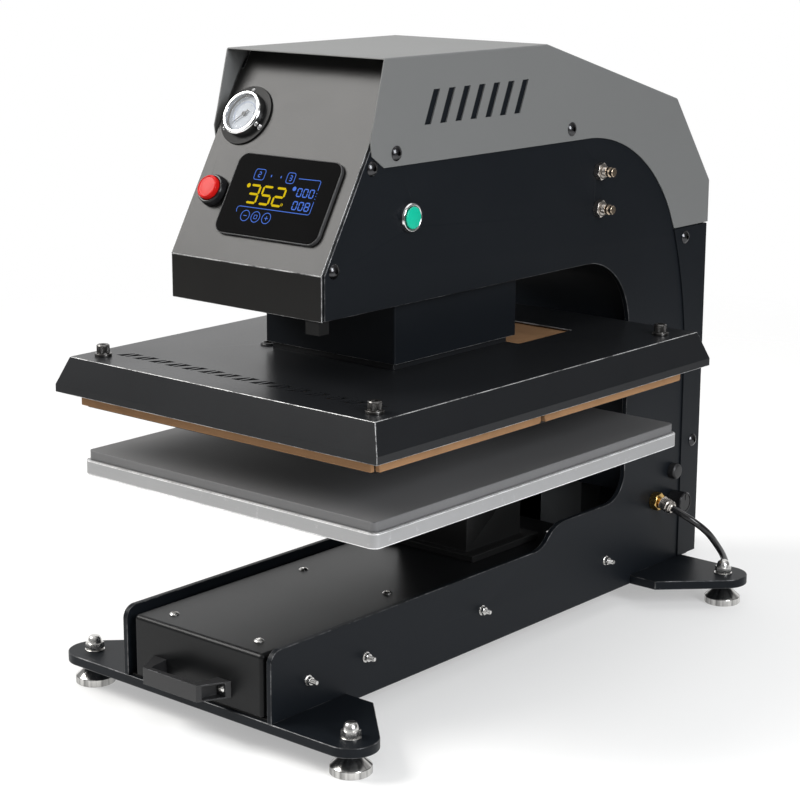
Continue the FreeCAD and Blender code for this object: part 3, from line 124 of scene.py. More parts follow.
def add_studio():
    """Pale floor that fades into the backdrop, and soft lights at the left, above and at the right."""
    add_surroundings()
    add_softbox("key", (-2.10, -1.9, 2.65), (0, 0, 0.45), (1.8, 1.7), 115.0, (1.0, 0.985, 0.96))
    add_softbox("overhead", (0.2, 0.3, 2.9), (0, 0, 0.4), (2.4, 2.4), 14.0, (1.0, 1.0, 1.0))
    add_softbox("side", (2.9, -0.6, 1.5), (0, 0, 0.35), (1.0, 1.6), 70.0, (0.95, 0.97, 1.0))
    floor = bpy.data.objects.new("floor", bpy.data.meshes.new("floor"))
    sheet = bmesh.new()
    bmesh.ops.create_circle(sheet, cap_ends=True, radius=2.6, segments=96)
    sheet.to_mesh(floor.data)
    sheet.free()
    bpy.context.scene.collection.objects.link(floor)
    pale = Finish("pale_floor", Roughness=0.9, Specular_IOR_Level=0.0, Emission_Color=(1.0, 1.0, 1.0, 1.0),
                  Emission_Strength=0.38)
    pale.colour((0.62, 0.62, 0.615))
    reach = pale.add("ShaderNodeVectorMath", {"operation": "LENGTH"}, {0: pale.here()}, out=1)
    pale.set("Alpha", pale.ramp(reach * 0.4, [(0.36, 1.0), (0.88, 0.0)]))
    floor.data.materials.append(pale.material)
    bpy.context.scene.view_settings.view_transform = "Standard"


# ------------------------------------------------------------------ finishes
class Wire:
    """An output in a finish's node tree; a sum written with it adds Math nodes."""

    def __init__(self, finish, output):
        self.finish = finish
        self.output = output

    def math(self, operation, first, second=0.0):
        return self.finish.add("ShaderNodeMath", {"operation": operation}, {0: first, 1: second})

    def __add__(self, other):
        return self.math("ADD", self, other)

    def __sub__(self, other):
        return self.math("SUBTRACT", self, other)

    def __rsub__(self, other):
        return self.math("SUBTRACT", other, self)

    def __mul__(self, other):
        return self.math("MULTIPLY", self, other)

    __radd__ = __add__
    __rmul__ = __mul__


class Finish:
    """A material being made: its node tree, with one method that adds any node."""

    def __init__(self, name, **fixed):
        self.material = bpy.data.materials.new(name)
        self.material.use_nodes = True
        self.tree = self.material.node_tree
        self.shader = self.tree.nodes["Principled BSDF"]
        for words, value in fixed.items():
            self.shader.inputs[words.replace("_", " ")].default_value = value

    def add(self, kind, settings=None, sockets=None, out=0):
        """Adds a node: its settings first, then the values or wires of its sockets."""
        node = self.tree.nodes.new(kind)
        for key, value in (settings or {}).items():
            if key == "stops":
                ramp = node.color_ramp.elements
                ramp.remove(ramp[1])
                ramp[0].position, ramp[0].color = value[0][0], (*value[0][1], 1.0)
                for place, colour in value[1:]:
                    ramp.new(place).color = (*colour, 1.0)
            else:
                setattr(node, key, value)
        for key, value in (sockets or {}).items():
            self.feed(node.inputs[key], value)
        return Wire(self, node.outputs[out])

    def feed(self, socket, value):
        """Links a wire to a socket, or sets the socket's own value."""
        if isinstance(value, Wire):
            self.tree.links.new(value.output, socket)
        else:
            socket.default_value = value

    def set(self, socket, value):
        """Feeds one of the shader's sockets."""
        self.feed(self.shader.inputs[socket], value)

    def colour(self, rgb):
        self.set("Base Color", (*rgb, 1.0))

    def here(self, scale=(1.0, 1.0, 1.0), centre=(0.0, 0.0, 0.0)):
        """Object coordinates, stretched by scale about a centre."""
        place = self.add("ShaderNodeTexCoord", out="Object")
        shift = tuple(-c * s for c, s in zip(centre, scale))
        return self.add("ShaderNodeMapping", {}, {"Vector": place, "Scale": scale, "Location": shift})

    def lathe_place(self, scale):
        """The piece's own map: around its axis, and along its outline in metres."""
        place = self.add("ShaderNodeTexCoord", out="UV")
        return self.add("ShaderNodeMapping", {}, {"Vector": place, "Scale": scale})

    def noise(self, where, scale, detail=2.0, rough=0.5):
        return self.add("ShaderNodeTexNoise", {}, {"Vector": where, "Scale": scale, "Detail": detail,
                                                   "Roughness": rough})

    def ramp(self, value, stops):
        return self.add("ShaderNodeValToRGB", {"stops": [(p, (v, v, v) if isinstance(v, float) else v)
                                                         for p, v in stops]}, {"Fac": value})

    def mix(self, factor, first, second):
        """A colour between two colours."""
        pick = [c if isinstance(c, Wire) else (*c, 1.0) for c in (first, second)]
        return self.add("ShaderNodeMix", {"data_type": "RGBA"}, {0: factor, 6: pick[0], 7: pick[1]}, out=2)

    def upward(self):
        """1 on faces that look up, 0 on the others."""
        normal = self.add("ShaderNodeNewGeometry", out="Normal")
        up = self.add("ShaderNodeSeparateXYZ", {}, {0: normal}, out=2)
        return self.add("ShaderNodeClamp", {}, {0: up})

    def bump(self, *layers):
        """Bump layers, each a height, a strength and a depth in metres."""
        normal = None
        for height, strength, depth in layers:
            sockets = {"Height": height, "Strength": strength, "Distance": depth}
            if normal is not None:
                sockets["Normal"] = normal
            normal = self.add("ShaderNodeBump", {}, sockets)
        self.set("Normal", normal)


def powder_coat(name, colour, gloss, grain, dust, shine=0.2):
    """Sprayed powder coat: fine orange peel, sand-like grain, faint clouding and dust on top faces."""
    paint = Finish(name, Specular_IOR_Level=shine)
    place = paint.here()
    cloud = paint.noise(place, 6.0, 4.0, 0.6)
    peel = paint.noise(place, 520.0, 2.0)
    sand = paint.noise(place, 2300.0, 2.0, 0.6)
    lint = paint.ramp(paint.noise(place, 160.0, 5.0, 0.7), [(0.62, 0.0), (0.75, 1.0)])
    light = tuple(min(1.0, c * 1.35 + 0.004) for c in colour)
    dusty = tuple(c * 0.7 + 0.1 for c in colour)
    base = paint.mix(cloud * 0.6 + sand * 0.4, colour, light)
    paint.set("Base Color", paint.mix(paint.upward() * lint * dust, base, dusty))
    paint.set("Roughness", cloud * 0.10 + sand * 0.08 + (gloss - 0.09))
    paint.bump((peel, 0.22, 0.00025), (sand, grain, 0.00012))
    return paint.material


def sprayed_paint(name, colour, gloss):
    """Smooth sprayed paint with a little orange peel and metal flake."""
    paint = Finish(name, Specular_IOR_Level=0.45)
    place = paint.here()
    cloud = paint.noise(place, 4.0, 3.0, 0.55)
    peel = paint.noise(place, 380.0, 2.0)
    flake = paint.noise(place, 3200.0, 1.0)
    paint.set("Base Color", paint.mix(cloud * 0.5 + flake * 0.5, tuple(c * 0.93 for c in colour),
                                      tuple(min(1.0, c * 1.07) for c in colour)))
    paint.set("Roughness", cloud * 0.08 + flake * 0.1 + (gloss - 0.09))
    paint.bump((peel, 0.25, 0.0002), (flake, 0.12, 0.00006))
    return paint.material


def brushed_metal(name, colour, gloss, along, marks=0.3, scuffs=0.0, metallic=1.0):
    """Metal with fine machining lines along one direction, clouding and scattered scuffs."""
    metal = Finish(name, Metallic=metallic)
    fine = tuple(25.0 if axis == along else 2600.0 for axis in range(3))
    lines = metal.noise(metal.here(fine), 1.0, 3.0, 0.6)
    place = metal.here()
    cloud = metal.noise(place, 14.0, 4.0, 0.6)
    scuff = metal.ramp(metal.noise(place, 90.0, 5.0, 0.75), [(0.60, 0.0), (0.70, 1.0)])
    dark = tuple(c * 0.72 for c in colour)
    base = metal.mix(lines * 0.55 + cloud * 0.45, dark, colour)
    metal.set("Base Color", metal.mix(scuff * scuffs, base, tuple(min(1.0, c * 1.25) for c in colour)))
    metal.set("Roughness", lines * 0.14 + cloud * 0.16 + scuff * 0.08 + (gloss - 0.15))
    metal.bump((lines, marks, 0.00005), (scuff, 0.15, 0.00008))
    return metal.material


def turned_metal(name, colour, gloss, ring=0.35, painted_reflection_share=0.0):
    """Metal turned on a lathe: rings that follow the outline, smudges, and dark bands round the axis that are painted
    reflections.
    """
    metal = Finish(name, Metallic=1.0)
    rings = metal.noise(metal.lathe_place((0.0, 5200.0, 0.0)), 1.0, 3.0, 0.7)
    smudge = metal.noise(metal.here(), 120.0, 4.0, 0.65)
    # dark bands round the axis, mixed into the colour below: painted reflections
    painted_reflection_band = metal.ramp(metal.noise(metal.lathe_place((17.0, 6.0, 0.0)), 1.0, 1.5, 0.5), [(0.40, 0.0), (0.60, 1.0)])
    tone = metal.mix(rings * 0.6 + smudge * 0.4, tuple(c * 0.74 for c in colour), colour)
    metal.set("Base Color", metal.mix(painted_reflection_band * painted_reflection_share, tone, tuple(c * 0.12 for c in colour)))
    metal.set("Roughness", rings * 0.12 + smudge * 0.14 + (gloss - 0.13))
    metal.bump((rings, ring, 0.00004))
    return metal.material


def plated_metal(name, colour, gloss):
    """Bright plating with faint clouding and pin marks."""
    metal = Finish(name, Metallic=1.0)
    place = metal.here()
    cloud = metal.noise(place, 160.0, 4.0, 0.6)
    pits = metal.ramp(metal.noise(place, 1500.0, 3.0, 0.7), [(0.60, 0.0), (0.74, 1.0)])
    metal.set("Base Color", metal.mix(cloud * 0.7 + pits * 0.3, colour, tuple(c * 0.78 for c in colour)))
    metal.set("Roughness", cloud * 0.16 + pits * 0.12 + (gloss - 0.08))
    metal.bump((pits, 0.1, 0.00004))
    return metal.material


def moulded_plastic(name, colour, gloss, texture=0.25, scale=1500.0, shine=0.5):
    """Moulded plastic with spark-eroded grain."""
    plastic = Finish(name, Specular_IOR_Level=shine)
    place = plastic.here()
    grain = plastic.noise(place, scale, 2.0, 0.6)
    cloud = plastic.noise(place, 30.0, 3.0, 0.6)
    plastic.set("Base Color", plastic.mix(cloud, tuple(c * 0.82 for c in colour),
                                          tuple(min(1.0, c * 1.15 + 0.002) for c in colour)))
    plastic.set("Roughness", grain * 0.12 + cloud * 0.1 + (gloss - 0.1))
    plastic.bump((grain, texture, 0.00008))
    return plastic.material


def fibre_board(name, colour):
    """Tan insulation board: pressed fibres, flecks and darker scorched patches."""
    board = Finish(name, Specular_IOR_Level=0.2)
    fibre = board.noise(board.here((700.0, 700.0, 2600.0)), 1.0, 4.0, 0.7)
    threads = board.noise(board.here((60.0, 60.0, 1800.0)), 1.0, 3.0, 0.6)
    patch = board.noise(board.here(), 18.0, 4.0, 0.65)
    light = tuple(min(1.0, c * 1.22) for c in colour)
    dark = tuple(c * 0.62 for c in colour)
    base = board.mix(fibre * 0.5 + threads * 0.5, dark, light)
    board.set("Base Color", board.mix(board.ramp(patch, [(0.45, 0.0), (0.75, 0.55)]), base,
                                      tuple(c * 0.55 for c in colour)))
    board.set("Roughness", fibre * 0.2 + 0.72)
    board.bump((fibre, 0.5, 0.0002), (threads, 0.4, 0.0003))
    return board.material


def worn_edge(name, dull, bright, share):
    """Painted highlight on the rounded edge strip of a painted sheet: a lighter colour in patches along the edge,
    standing in for the light the rounding catches.
    """
    edge = Finish(name, Metallic=0.35)
    highlight_noise = edge.noise(edge.here(), 34.0, 5.0, 0.7)
    nick = edge.noise(edge.here(), 420.0, 3.0, 0.7)
    # patches of the edge strip that take the lighter colour: the painted highlight
    highlight_patches = edge.ramp(highlight_noise * 0.7 + nick * 0.3, [(0.62 - 0.3 * share, 0.0), (0.80 - 0.3 * share, 1.0)])
    edge.set("Base Color", edge.mix(highlight_patches, dull, bright))
    edge.set("Roughness", nick * 0.16 + 0.24)
    edge.bump((nick, 0.2, 0.00006))
    return edge.material


def silicone(name, colour):
    """Matt silicone sheet with a cloth print, specks and faint press marks."""
    pad = Finish(name, Specular_IOR_Level=0.35)
    place = pad.here()
    print_x = pad.noise(pad.here((1400.0, 90.0, 300.0)), 1.0, 2.0)
    print_y = pad.noise(pad.here((90.0, 1400.0, 300.0)), 1.0, 2.0)
    cloud = pad.noise(place, 9.0, 5.0, 0.65)
    speck = pad.ramp(pad.noise(place, 650.0, 4.0, 0.75), [(0.63, 0.0), (0.72, 1.0)])
    base = pad.mix(cloud, tuple(c * 0.86 for c in colour), tuple(min(1.0, c * 1.14) for c in colour))
    pad.set("Base Color", pad.mix(speck * 0.4, base, tuple(min(1.0, c * 1.5) for c in colour)))
    pad.set("Roughness", cloud * 0.14 + speck * 0.1 + 0.47)
    pad.bump((print_x * 0.5 + print_y * 0.5, 0.2, 0.0001), (cloud, 0.2, 0.0006))
    return pad.material


def lit(name, colour, strength):
    """Light-emitting figure of the display, a little uneven as such figures are."""
    glow = Finish(name, Specular_IOR_Level=0.0, Emission_Strength=strength)
    patch = glow.noise(glow.here(), 900.0, 2.0)
    glow.colour((0.0, 0.0, 0.0))
    glow.set("Emission Color", glow.mix(patch, tuple(c * 0.75 for c in colour), colour))
    return glow.material


def clear_glass(name):
    """Thin clear lens."""
    glass = Finish(name, Specular_IOR_Level=0.05, Alpha=0.08)
    smear = glass.noise(glass.here(), 90.0, 4.0, 0.6)
    glass.set("Base Color", (0.97, 0.98, 0.98, 1.0))
    glass.set("Roughness", smear * 0.06 + 0.01)
    return glass.material


def make_finishes():
    """Every finish by name: the rows hold each maker's values in its own order."""
    table = {
        powder_coat: {
            "side_black": ((0.0045, 0.0060, 0.0082), 0.40, 0.32, 0.04, 0.12),
            "cover_black": ((0.0085, 0.0092, 0.0105), 0.30, 0.30, 0.04, 0.26),
            "panel_black": ((0.0085, 0.0081, 0.0076), 0.33, 0.34, 0.03, 0.26),
            "drawer_black": ((0.0035, 0.0038, 0.0042), 0.30, 0.30, 0.03, 0.18),
            "inner_black": ((0.006, 0.006, 0.006), 0.45, 0.30, 0.0, 0.2),
        },
        sprayed_paint: {
            "grey_paint": ((0.168, 0.171, 0.169), 0.48),
            "valve_grey": ((0.2, 0.21, 0.22), 0.45),
        },
        # painted highlights for the rounded edge strips: dark colour, light colour, share of the strip that is lit
        worn_edge: {
            "worn_edge": ((0.05, 0.05, 0.052), (0.60, 0.60, 0.60), 0.75),
            "soft_edge": ((0.018, 0.019, 0.021), (0.20, 0.20, 0.205), 0.45),
            "bright_edge": ((0.60, 0.60, 0.60), (0.95, 0.95, 0.95), 0.8),
        },
        brushed_metal: {
            "machined_steel": ((0.42, 0.42, 0.41), 0.42, 0),
            "ground_steel": ((0.62, 0.62, 0.62), 0.22, 2),
            "platen_alloy": ((0.46, 0.46, 0.465), 0.46, 0, 0.35, 0.6, 0.45),
            "hot_plate_alloy": ((0.035, 0.032, 0.030), 0.50, 0, 0.3, 0.2),
            "cylinder_alloy": ((0.55, 0.55, 0.56), 0.35, 2),
        },
        turned_metal: {
            "bronze": ((0.62, 0.42, 0.2), 0.35),
            # the last value is the share of painted dark reflection bands
            "stainless": ((0.78, 0.77, 0.75), 0.20, 0.35, 0.75),
        },
        plated_metal: {
            "bright_screw": ((0.78, 0.77, 0.75), 0.25),
            "black_screw": ((0.075, 0.075, 0.078), 0.22),
            "burnished_bolt": ((0.16, 0.155, 0.15), 0.33),
            "chrome": ((0.86, 0.86, 0.86), 0.14),
            "nickel": ((0.66, 0.61, 0.56), 0.28),
            "warm_nickel": ((0.62, 0.50, 0.38), 0.26),
            "brass": ((0.72, 0.47, 0.16), 0.27),
        },
        moulded_plastic: {
            "gauge_black": ((0.008, 0.008, 0.008), 0.35, 0.25, 1500.0, 0.10),
            "dial_white": ((0.36, 0.40, 0.46), 0.42, 0.05),
            "dial_ink": ((0.012, 0.013, 0.018), 0.5, 0.05),
            "dial_blue": ((0.05, 0.12, 0.32), 0.5, 0.05),
            "display_frame": ((0.05, 0.05, 0.051), 0.30, 0.25, 1500.0, 0.3),
            "display_glass": ((0.0010, 0.0010, 0.0012), 0.12, 0.0, 60.0, 0.004),
            "button_black": ((0.009, 0.009, 0.010), 0.24, 0.25, 1500.0, 0.3),
            "button_red": ((0.60, 0.010, 0.008), 0.16, 0.05, 1500.0, 0.10),
            "button_green": ((0.0, 0.52, 0.33), 0.30, 0.08),
            "board_green": ((0.01, 0.11, 0.035), 0.35, 0.2, 500.0),
            "hose_black": ((0.010, 0.010, 0.011), 0.22, 0.06),
            "strap_black": ((0.02, 0.02, 0.02), 0.85, 0.9, 900.0),
            "handle_black": ((0.012, 0.012, 0.013), 0.42),
        },
        clear_glass: {
            "lens": (),
        },
        lit: {
            "lit_yellow": ((0.80, 0.58, 0.01), 1.0),
            "lit_blue": ((0.10, 0.23, 0.85), 1.0),
        },
        fibre_board: {
            "insulation": ((0.37, 0.205, 0.10),),
        },
        silicone: {
            "silicone": ((0.15, 0.15, 0.152),),
        },
    }
    return {name: maker(name, *values) for maker, rows in table.items() for name, values in rows.items()}


# ------------------------------------------------------------------ meshes
def merged(node):
    """A CAD node's triangles as one welded bmesh with flat faces joined."""
    work = bmesh.new()
    work.from_mesh(nodes[node].data)
    bmesh.ops.remove_doubles(work, verts=work.verts, dist=0.002 * MM)
    bmesh.ops.dissolve_limit(work, angle_limit=math.radians(0.5), verts=work.verts, edges=work.edges)
    many_sided = [face for face in work.faces if len(face.verts) > 4]
    bmesh.ops.triangulate(work, faces=many_sided, ngon_method="BEAUTY")
    return work


def corners_of(points):
    """Lowest and highest corner of the box round some points."""
    return tuple(Vector([pick(p[i] for p in points) for i in range(3)]) for pick in (min, max))


def islands(node):
    """Lowest and highest corner of each separate solid of a CAD node."""
    work = bmesh.new()
    work.from_mesh(nodes[node].data)
    bmesh.ops.remove_doubles(work, verts=work.verts, dist=0.002 * MM)
    seen, found = set(), []
    for start in work.verts:
        if start in seen:
            continue
        seen.add(start)
        group, waiting = [], [start]
        while waiting:
            vert = waiting.pop()
            group.append(vert.co.copy())
            for edge in vert.link_edges:
                other = edge.other_vert(vert)
                if other not in seen:
                    seen.add(other)
                    waiting.append(other)
        found.append(corners_of(group))
    work.free()
    return found


def mesh_from(work, name="part"):
    """A mesh made from a bmesh, which is then freed."""
    mesh = bpy.data.meshes.new(name)
    work.to_mesh(mesh)
    work.free()
    return mesh


def shade(mesh, angle=32.0):
    """Smooth shading, with edges sharper than the angle kept crisp."""
    mesh.polygons.foreach_set("use_smooth", [True] * len(mesh.polygons))
    mesh.set_sharp_from_angle(angle=math.radians(angle))
    return mesh


def evaluated(source):
    """The plain mesh that an object's modifiers give; the object is removed."""
    bpy.context.view_layer.update()
    graph = bpy.context.evaluated_depsgraph_get()
    mesh = bpy.data.meshes.new_from_object(source.evaluated_get(graph), preserve_all_data_layers=True,
                                           depsgraph=graph)
    bpy.data.objects.remove(source)
    return mesh


def loose_object(mesh, name="work"):
    """An object for a mesh that is still being made."""
    source = bpy.data.objects.new(name, mesh)
    bpy.context.scene.collection.objects.link(source)
    return source


def mark_long_edges(work, angle, hole):
    """Gives the rounding weight 1 to the sharp edges that aren't the rim of a hole."""
    weight = work.edges.layers.float.new("bevel_weight_edge")
    sharp = {e for e in work.edges if len(e.link_faces) == 2 and e.calc_face_angle(0.0) > math.radians(angle)}
    while sharp:
        chain, ends = [], [sharp.pop()]
        while ends:
            edge = ends.pop()
            chain.append(edge)
            for vert in edge.verts:
                linked = [e for e in vert.link_edges if e in sharp]
                sharp.difference_update(linked)
                ends += linked
        if math.dist(*corners_of([v.co for e in chain for v in e.verts])) > hole:
            for edge in chain:
                edge[weight] = 1.0


def rounded(work, width, segments=2, angle=28.0, hole=0.0, coats=1):
    """A welded piece with its sharp edges rounded, and the rims of its small holes left crisp."""
    mark_long_edges(work, angle, hole)
    mesh = mesh_from(work)
    for _ in range(coats):
        mesh.materials.append(finishes["inner_black"])
    mesh.polygons.foreach_set("use_smooth", [True] * len(mesh.polygons))
    mesh.set_sharp_from_angle(angle=math.radians(50.0))
    source = loose_object(mesh)
    bevel = source.modifiers.new("rounding", "BEVEL")
    bevel.width = width
    bevel.segments = segments
    bevel.limit_method = "WEIGHT"
    # the rounded strips take the last coat, which on several pieces is a painted edge highlight
    bevel.material = coats - 1
    bevel.use_clamp_overlap = False
    bevel.miter_outer = "MITER_ARC"
    source.modifiers.new("normals", "WEIGHTED_NORMAL").keep_sharp = True
    return evaluated(source)


def carve(mesh, cutter, operation="DIFFERENCE"):
    """One mesh cut by another, or their shared part."""
    source, tool = loose_object(mesh), loose_object(cutter)
    cut = source.modifiers.new("cut", "BOOLEAN")
    cut.object = tool
    cut.operation = operation
    cut.solver = "EXACT"
    made = evaluated(source)
    bpy.data.objects.remove(tool)
    return made


def lathe(outline, steps=64, flutes=0, depth=0.0):
    """A turned mesh about Z from (radius, height) points; a third item of 1 flutes that ring."""
    work = bmesh.new()
    rings = []
    lengths = [0.0]
    for before, after in zip(outline, outline[1:]):
        lengths.append(lengths[-1] + math.dist(before[:2], after[:2]))
    for point in outline:
        radius, height = point[0], point[1]
        if radius < 1e-7:
            rings.append([work.verts.new((0, 0, height))] * steps)
            continue
        ring = []
        for k in range(steps):
            turn = 2 * math.pi * k / steps
            wave = depth * (0.5 - 0.5 * math.cos(flutes * turn)) if len(point) > 2 else 0.0
            ring.append(work.verts.new(((radius - wave) * math.cos(turn), (radius - wave) * math.sin(turn), height)))
        rings.append(ring)
    table = work.loops.layers.uv.new("UVMap")
    for row, (lower, upper) in enumerate(zip(rings, rings[1:])):
        for k in range(steps):
            following = (k + 1) % steps
            corners = [(lower[k], k, row), (lower[following], k + 1, row), (upper[following], k + 1, row + 1),
                       (upper[k], k, row + 1)]
            kept = []
            for corner in corners:
                if corner[0] not in [c[0] for c in kept]:
                    kept.append(corner)
            if len(kept) < 3:
                continue
            face = work.faces.new([c[0] for c in kept])
            for loop, corner in zip(face.loops, kept):
                loop[table].uv = (corner[1] / steps, lengths[corner[2]])
    bmesh.ops.recalc_face_normals(work, faces=work.faces)
    return shade(mesh_from(work))


def turned(points, steps=64, flutes=0, depth=0.0):
    """A turned mesh from an outline in millimetres."""
    return lathe([(p[0] * MM, p[1] * MM, *p[2:]) for p in points], steps, flutes, depth * MM)


def disc(radius, height, ease, steps):
    """A washer or collar with eased edges, in millimetres."""
    return turned(eased([(0.0, 0.0), (radius, 0.0), (radius, height), (0.0, height)], ease), steps)


def eased(points, radius, steps=3):
    """An outline with each inner corner turned into a small arc."""
    made = [points[0]]
    for before, corner, after in zip(points, points[1:], points[2:]):
        a, b, c = Vector(before[:2]), Vector(corner[:2]), Vector(after[:2])
        reach = min(radius, 0.45 * (a - b).length, 0.45 * (c - b).length)
        start, end = b + (a - b).normalized() * reach, b + (c - b).normalized() * reach
        for k in range(steps + 1):
            t = k / steps
            point = start * (1 - t) ** 2 + b * 2 * t * (1 - t) + end * t ** 2
            made.append((point.x, point.y, *corner[2:]))
    made.append(points[-1])
    return made


def prism(points, low, high):
    """A straight prism over an XY outline."""
    work = bmesh.new()
    face = work.faces.new([work.verts.new((x, y, low)) for x, y in points])
    lifted = bmesh.ops.extrude_face_region(work, geom=[face])
    bmesh.ops.translate(work, vec=(0, 0, high - low), verts=[v for v in lifted["geom"]
                                                            if isinstance(v, bmesh.types.BMVert)])
    bmesh.ops.recalc_face_normals(work, faces=work.faces)
    return mesh_from(work)


def hexagon_points(flats, turn=0.0):
    """Corners of a hexagon of the given width across flats."""
    return [(flats / math.sqrt(3) * math.cos(math.radians(60 * k + turn)),
             flats / math.sqrt(3) * math.sin(math.radians(60 * k + turn))) for k in range(6)]


def joined(parts):
    """One mesh from (mesh, matrix) pairs; a third item is the material's number."""
    work = bmesh.new()
    for part in parts:
        mesh = part[0].copy()
        mesh.transform(part[1])
        if len(part) > 2:
            mesh.polygons.foreach_set("material_index", [part[2]] * len(mesh.polygons))
        work.from_mesh(mesh)
        bpy.data.meshes.remove(mesh)
    return mesh_from(work)


def facing(base, axis):
    """A matrix that puts Z along the axis at a base point, with X kept level."""
    out = Vector(axis).normalized()
    side = Vector((0, 0, 1)).cross(out)
    side = side.normalized() if side.length > 1e-6 else Vector((1, 0, 0))
    turned = Matrix((side, out.cross(side), out)).transposed().to_4x4()
    turned.translation = Vector(base)
    return turned


# ------------------------------------------------------------------ pieces
def add_piece(name, mesh, finish, *replaced, body=None):
    """Adds a finished piece that rides on its CAD node's body and stands for the node."""
    coats = finish if isinstance(finish, list) else [finish]
    coat_of = [min(face.material_index, len(coats) - 1) for face in mesh.polygons]
    mesh.materials.clear()
    for coat in coats:
        mesh.materials.append(finishes[coat])
    mesh.polygons.foreach_set("material_index", coat_of)
    piece = bpy.data.objects.new(name, mesh)
    bpy.context.scene.collection.objects.link(piece)
    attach(piece, body or body_of[replaced[0]])
    if replaced:
        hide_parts(*replaced)
    return piece


def soften(name, node, finish, width, segments=2, angle=28.0, hole=60 * MM):
    """A CAD node's shape with real rounded edges."""
    mesh = rounded(merged(node), width, segments, angle, hole, len(finish) if isinstance(finish, list) else 1)
    return add_piece(name, mesh, finish, node)


def box_in(node, place):
    """Lowest and highest corner of a CAD node in a turned set of axes."""
    inverse = place.inverted()
    return corners_of([inverse @ v.co for v in nodes[node].data.vertices])


def middle(corners):
    return (corners[0] + corners[1]) / 2


def turned_piece(name, points, steps, seat, finish, *replaced, flutes=0, depth=0.0, body=None):
    """A turned piece at its seat, from an outline in millimetres."""
    mesh = joined([(turned(points, steps, flutes, depth), seat)])
    return add_piece(name, mesh, finish, *replaced, body=body)


def repeat_piece(name, pattern, spots, finish, node, seed):
    """A piece made of one pattern at many seats, each copy turned by a different amount."""
    return add_piece(name, repeats.make(pattern, spots, finish, math.pi, seed), finish, node)


def right_seat(node, x=None):
    """A seat that faces right, in the middle of a CAD node: at its left end, or at a given x."""
    low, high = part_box(node)
    return facing((low.x if x is None else x, (low.y + high.y) / 2, (low.z + high.z) / 2), (1, 0, 0))


def cheek_spots(boxes, reach):
    """Seats on the outsides of both cheeks, a reach inside each box's outer end."""
    spots = []
    for low, high in boxes:
        centre = middle((low, high))
        side = 1.0 if centre.x > 0 else -1.0
        spots.append(((high.x - reach if side > 0 else low.x + reach, centre.y, centre.z), (side, 0, 0)))
    return spots


def top_spots(node, z=None):
    """Upward seats in the middle of each solid of a CAD node: at its foot, or at a given height."""
    return [((middle(box).x, middle(box).y, box[0].z if z is None else z), (0, 0, 1)) for box in islands(node)]


# ------------------------------------------------------------------ repeats
class Repeats:
    """A Geometry Nodes tree that sets copies of a pattern on points."""

    def __init__(self):
        self.tree = bpy.data.node_groups.new("pattern_on_points", "GeometryNodeTree")
        face = self.tree.interface
        face.new_socket("Points", in_out="INPUT", socket_type="NodeSocketGeometry")
        self.key = {}
        for words, kind, value in (("Pattern", "NodeSocketObject", None), ("Turn Spread", "NodeSocketFloat", 0.0),
                                   ("Seed", "NodeSocketInt", 7), ("Finish", "NodeSocketMaterial", None)):
            socket = face.new_socket(words, in_out="INPUT", socket_type=kind)
            if value is not None:
                socket.default_value = value
            self.key[words] = socket.identifier
        face.new_socket("Copies", in_out="OUTPUT", socket_type="NodeSocketGeometry")
        entry = self.tree.nodes.new("NodeGroupInput")
        pattern = add_node(self.tree, "GeometryNodeObjectInfo", {}, {"Object": entry.outputs["Pattern"]})
        way = add_node(self.tree, "GeometryNodeInputNamedAttribute", {"data_type": "FLOAT_VECTOR"},
                       {"Name": "facing"})
        aligned = add_node(self.tree, "FunctionNodeAlignRotationToVector", {"axis": "Z"},
                           {"Vector": way.outputs["Attribute"]})
        spread = add_node(self.tree, "ShaderNodeMath", {"operation": "MULTIPLY"},
                          {0: entry.outputs["Turn Spread"], 1: -1.0})
        turn = add_node(self.tree, "FunctionNodeRandomValue", {"data_type": "FLOAT"},
                        {2: spread.outputs[0], 3: entry.outputs["Turn Spread"], "Seed": entry.outputs["Seed"]})
        spin = add_node(self.tree, "FunctionNodeAxisAngleToRotation", {}, {"Axis": (0, 0, 1), "Angle": turn.outputs[1]})
        both = add_node(self.tree, "FunctionNodeRotateRotation", {"rotation_space": "LOCAL"},
                        {0: aligned.outputs[0], 1: spin.outputs[0]})
        copies = add_node(self.tree, "GeometryNodeInstanceOnPoints", {}, {
            "Points": entry.outputs["Points"], "Instance": pattern.outputs["Geometry"], "Rotation": both.outputs[0]})
        real = add_node(self.tree, "GeometryNodeRealizeInstances", {}, {0: copies.outputs[0]})
        coated = add_node(self.tree, "GeometryNodeSetMaterial", {}, {"Geometry": real.outputs[0],
                                                          "Material": entry.outputs["Finish"]})
        leave = self.tree.nodes.new("NodeGroupOutput")
        self.tree.links.new(coated.outputs[0], leave.inputs[0])

    def make(self, pattern, spots, finish, spread=0.0, seed=7):
        """A plain mesh of the pattern at each (point, way)."""
        points = bpy.data.meshes.new("points")
        points.from_pydata([tuple(place) for place, way in spots], [], [])
        ways = points.attributes.new("facing", "FLOAT_VECTOR", "POINT")
        for k, (place, way) in enumerate(spots):
            ways.data[k].vector = way
        source, master = loose_object(points), loose_object(pattern)
        holder = source.modifiers.new("copies", "NODES")
        holder.node_group = self.tree
        holder[self.key["Pattern"]] = master
        holder[self.key["Turn Spread"]] = spread
        holder[self.key["Seed"]] = seed
        holder[self.key["Finish"]] = finishes[finish]
        made = evaluated(source)
        bpy.data.objects.remove(master)
        return made


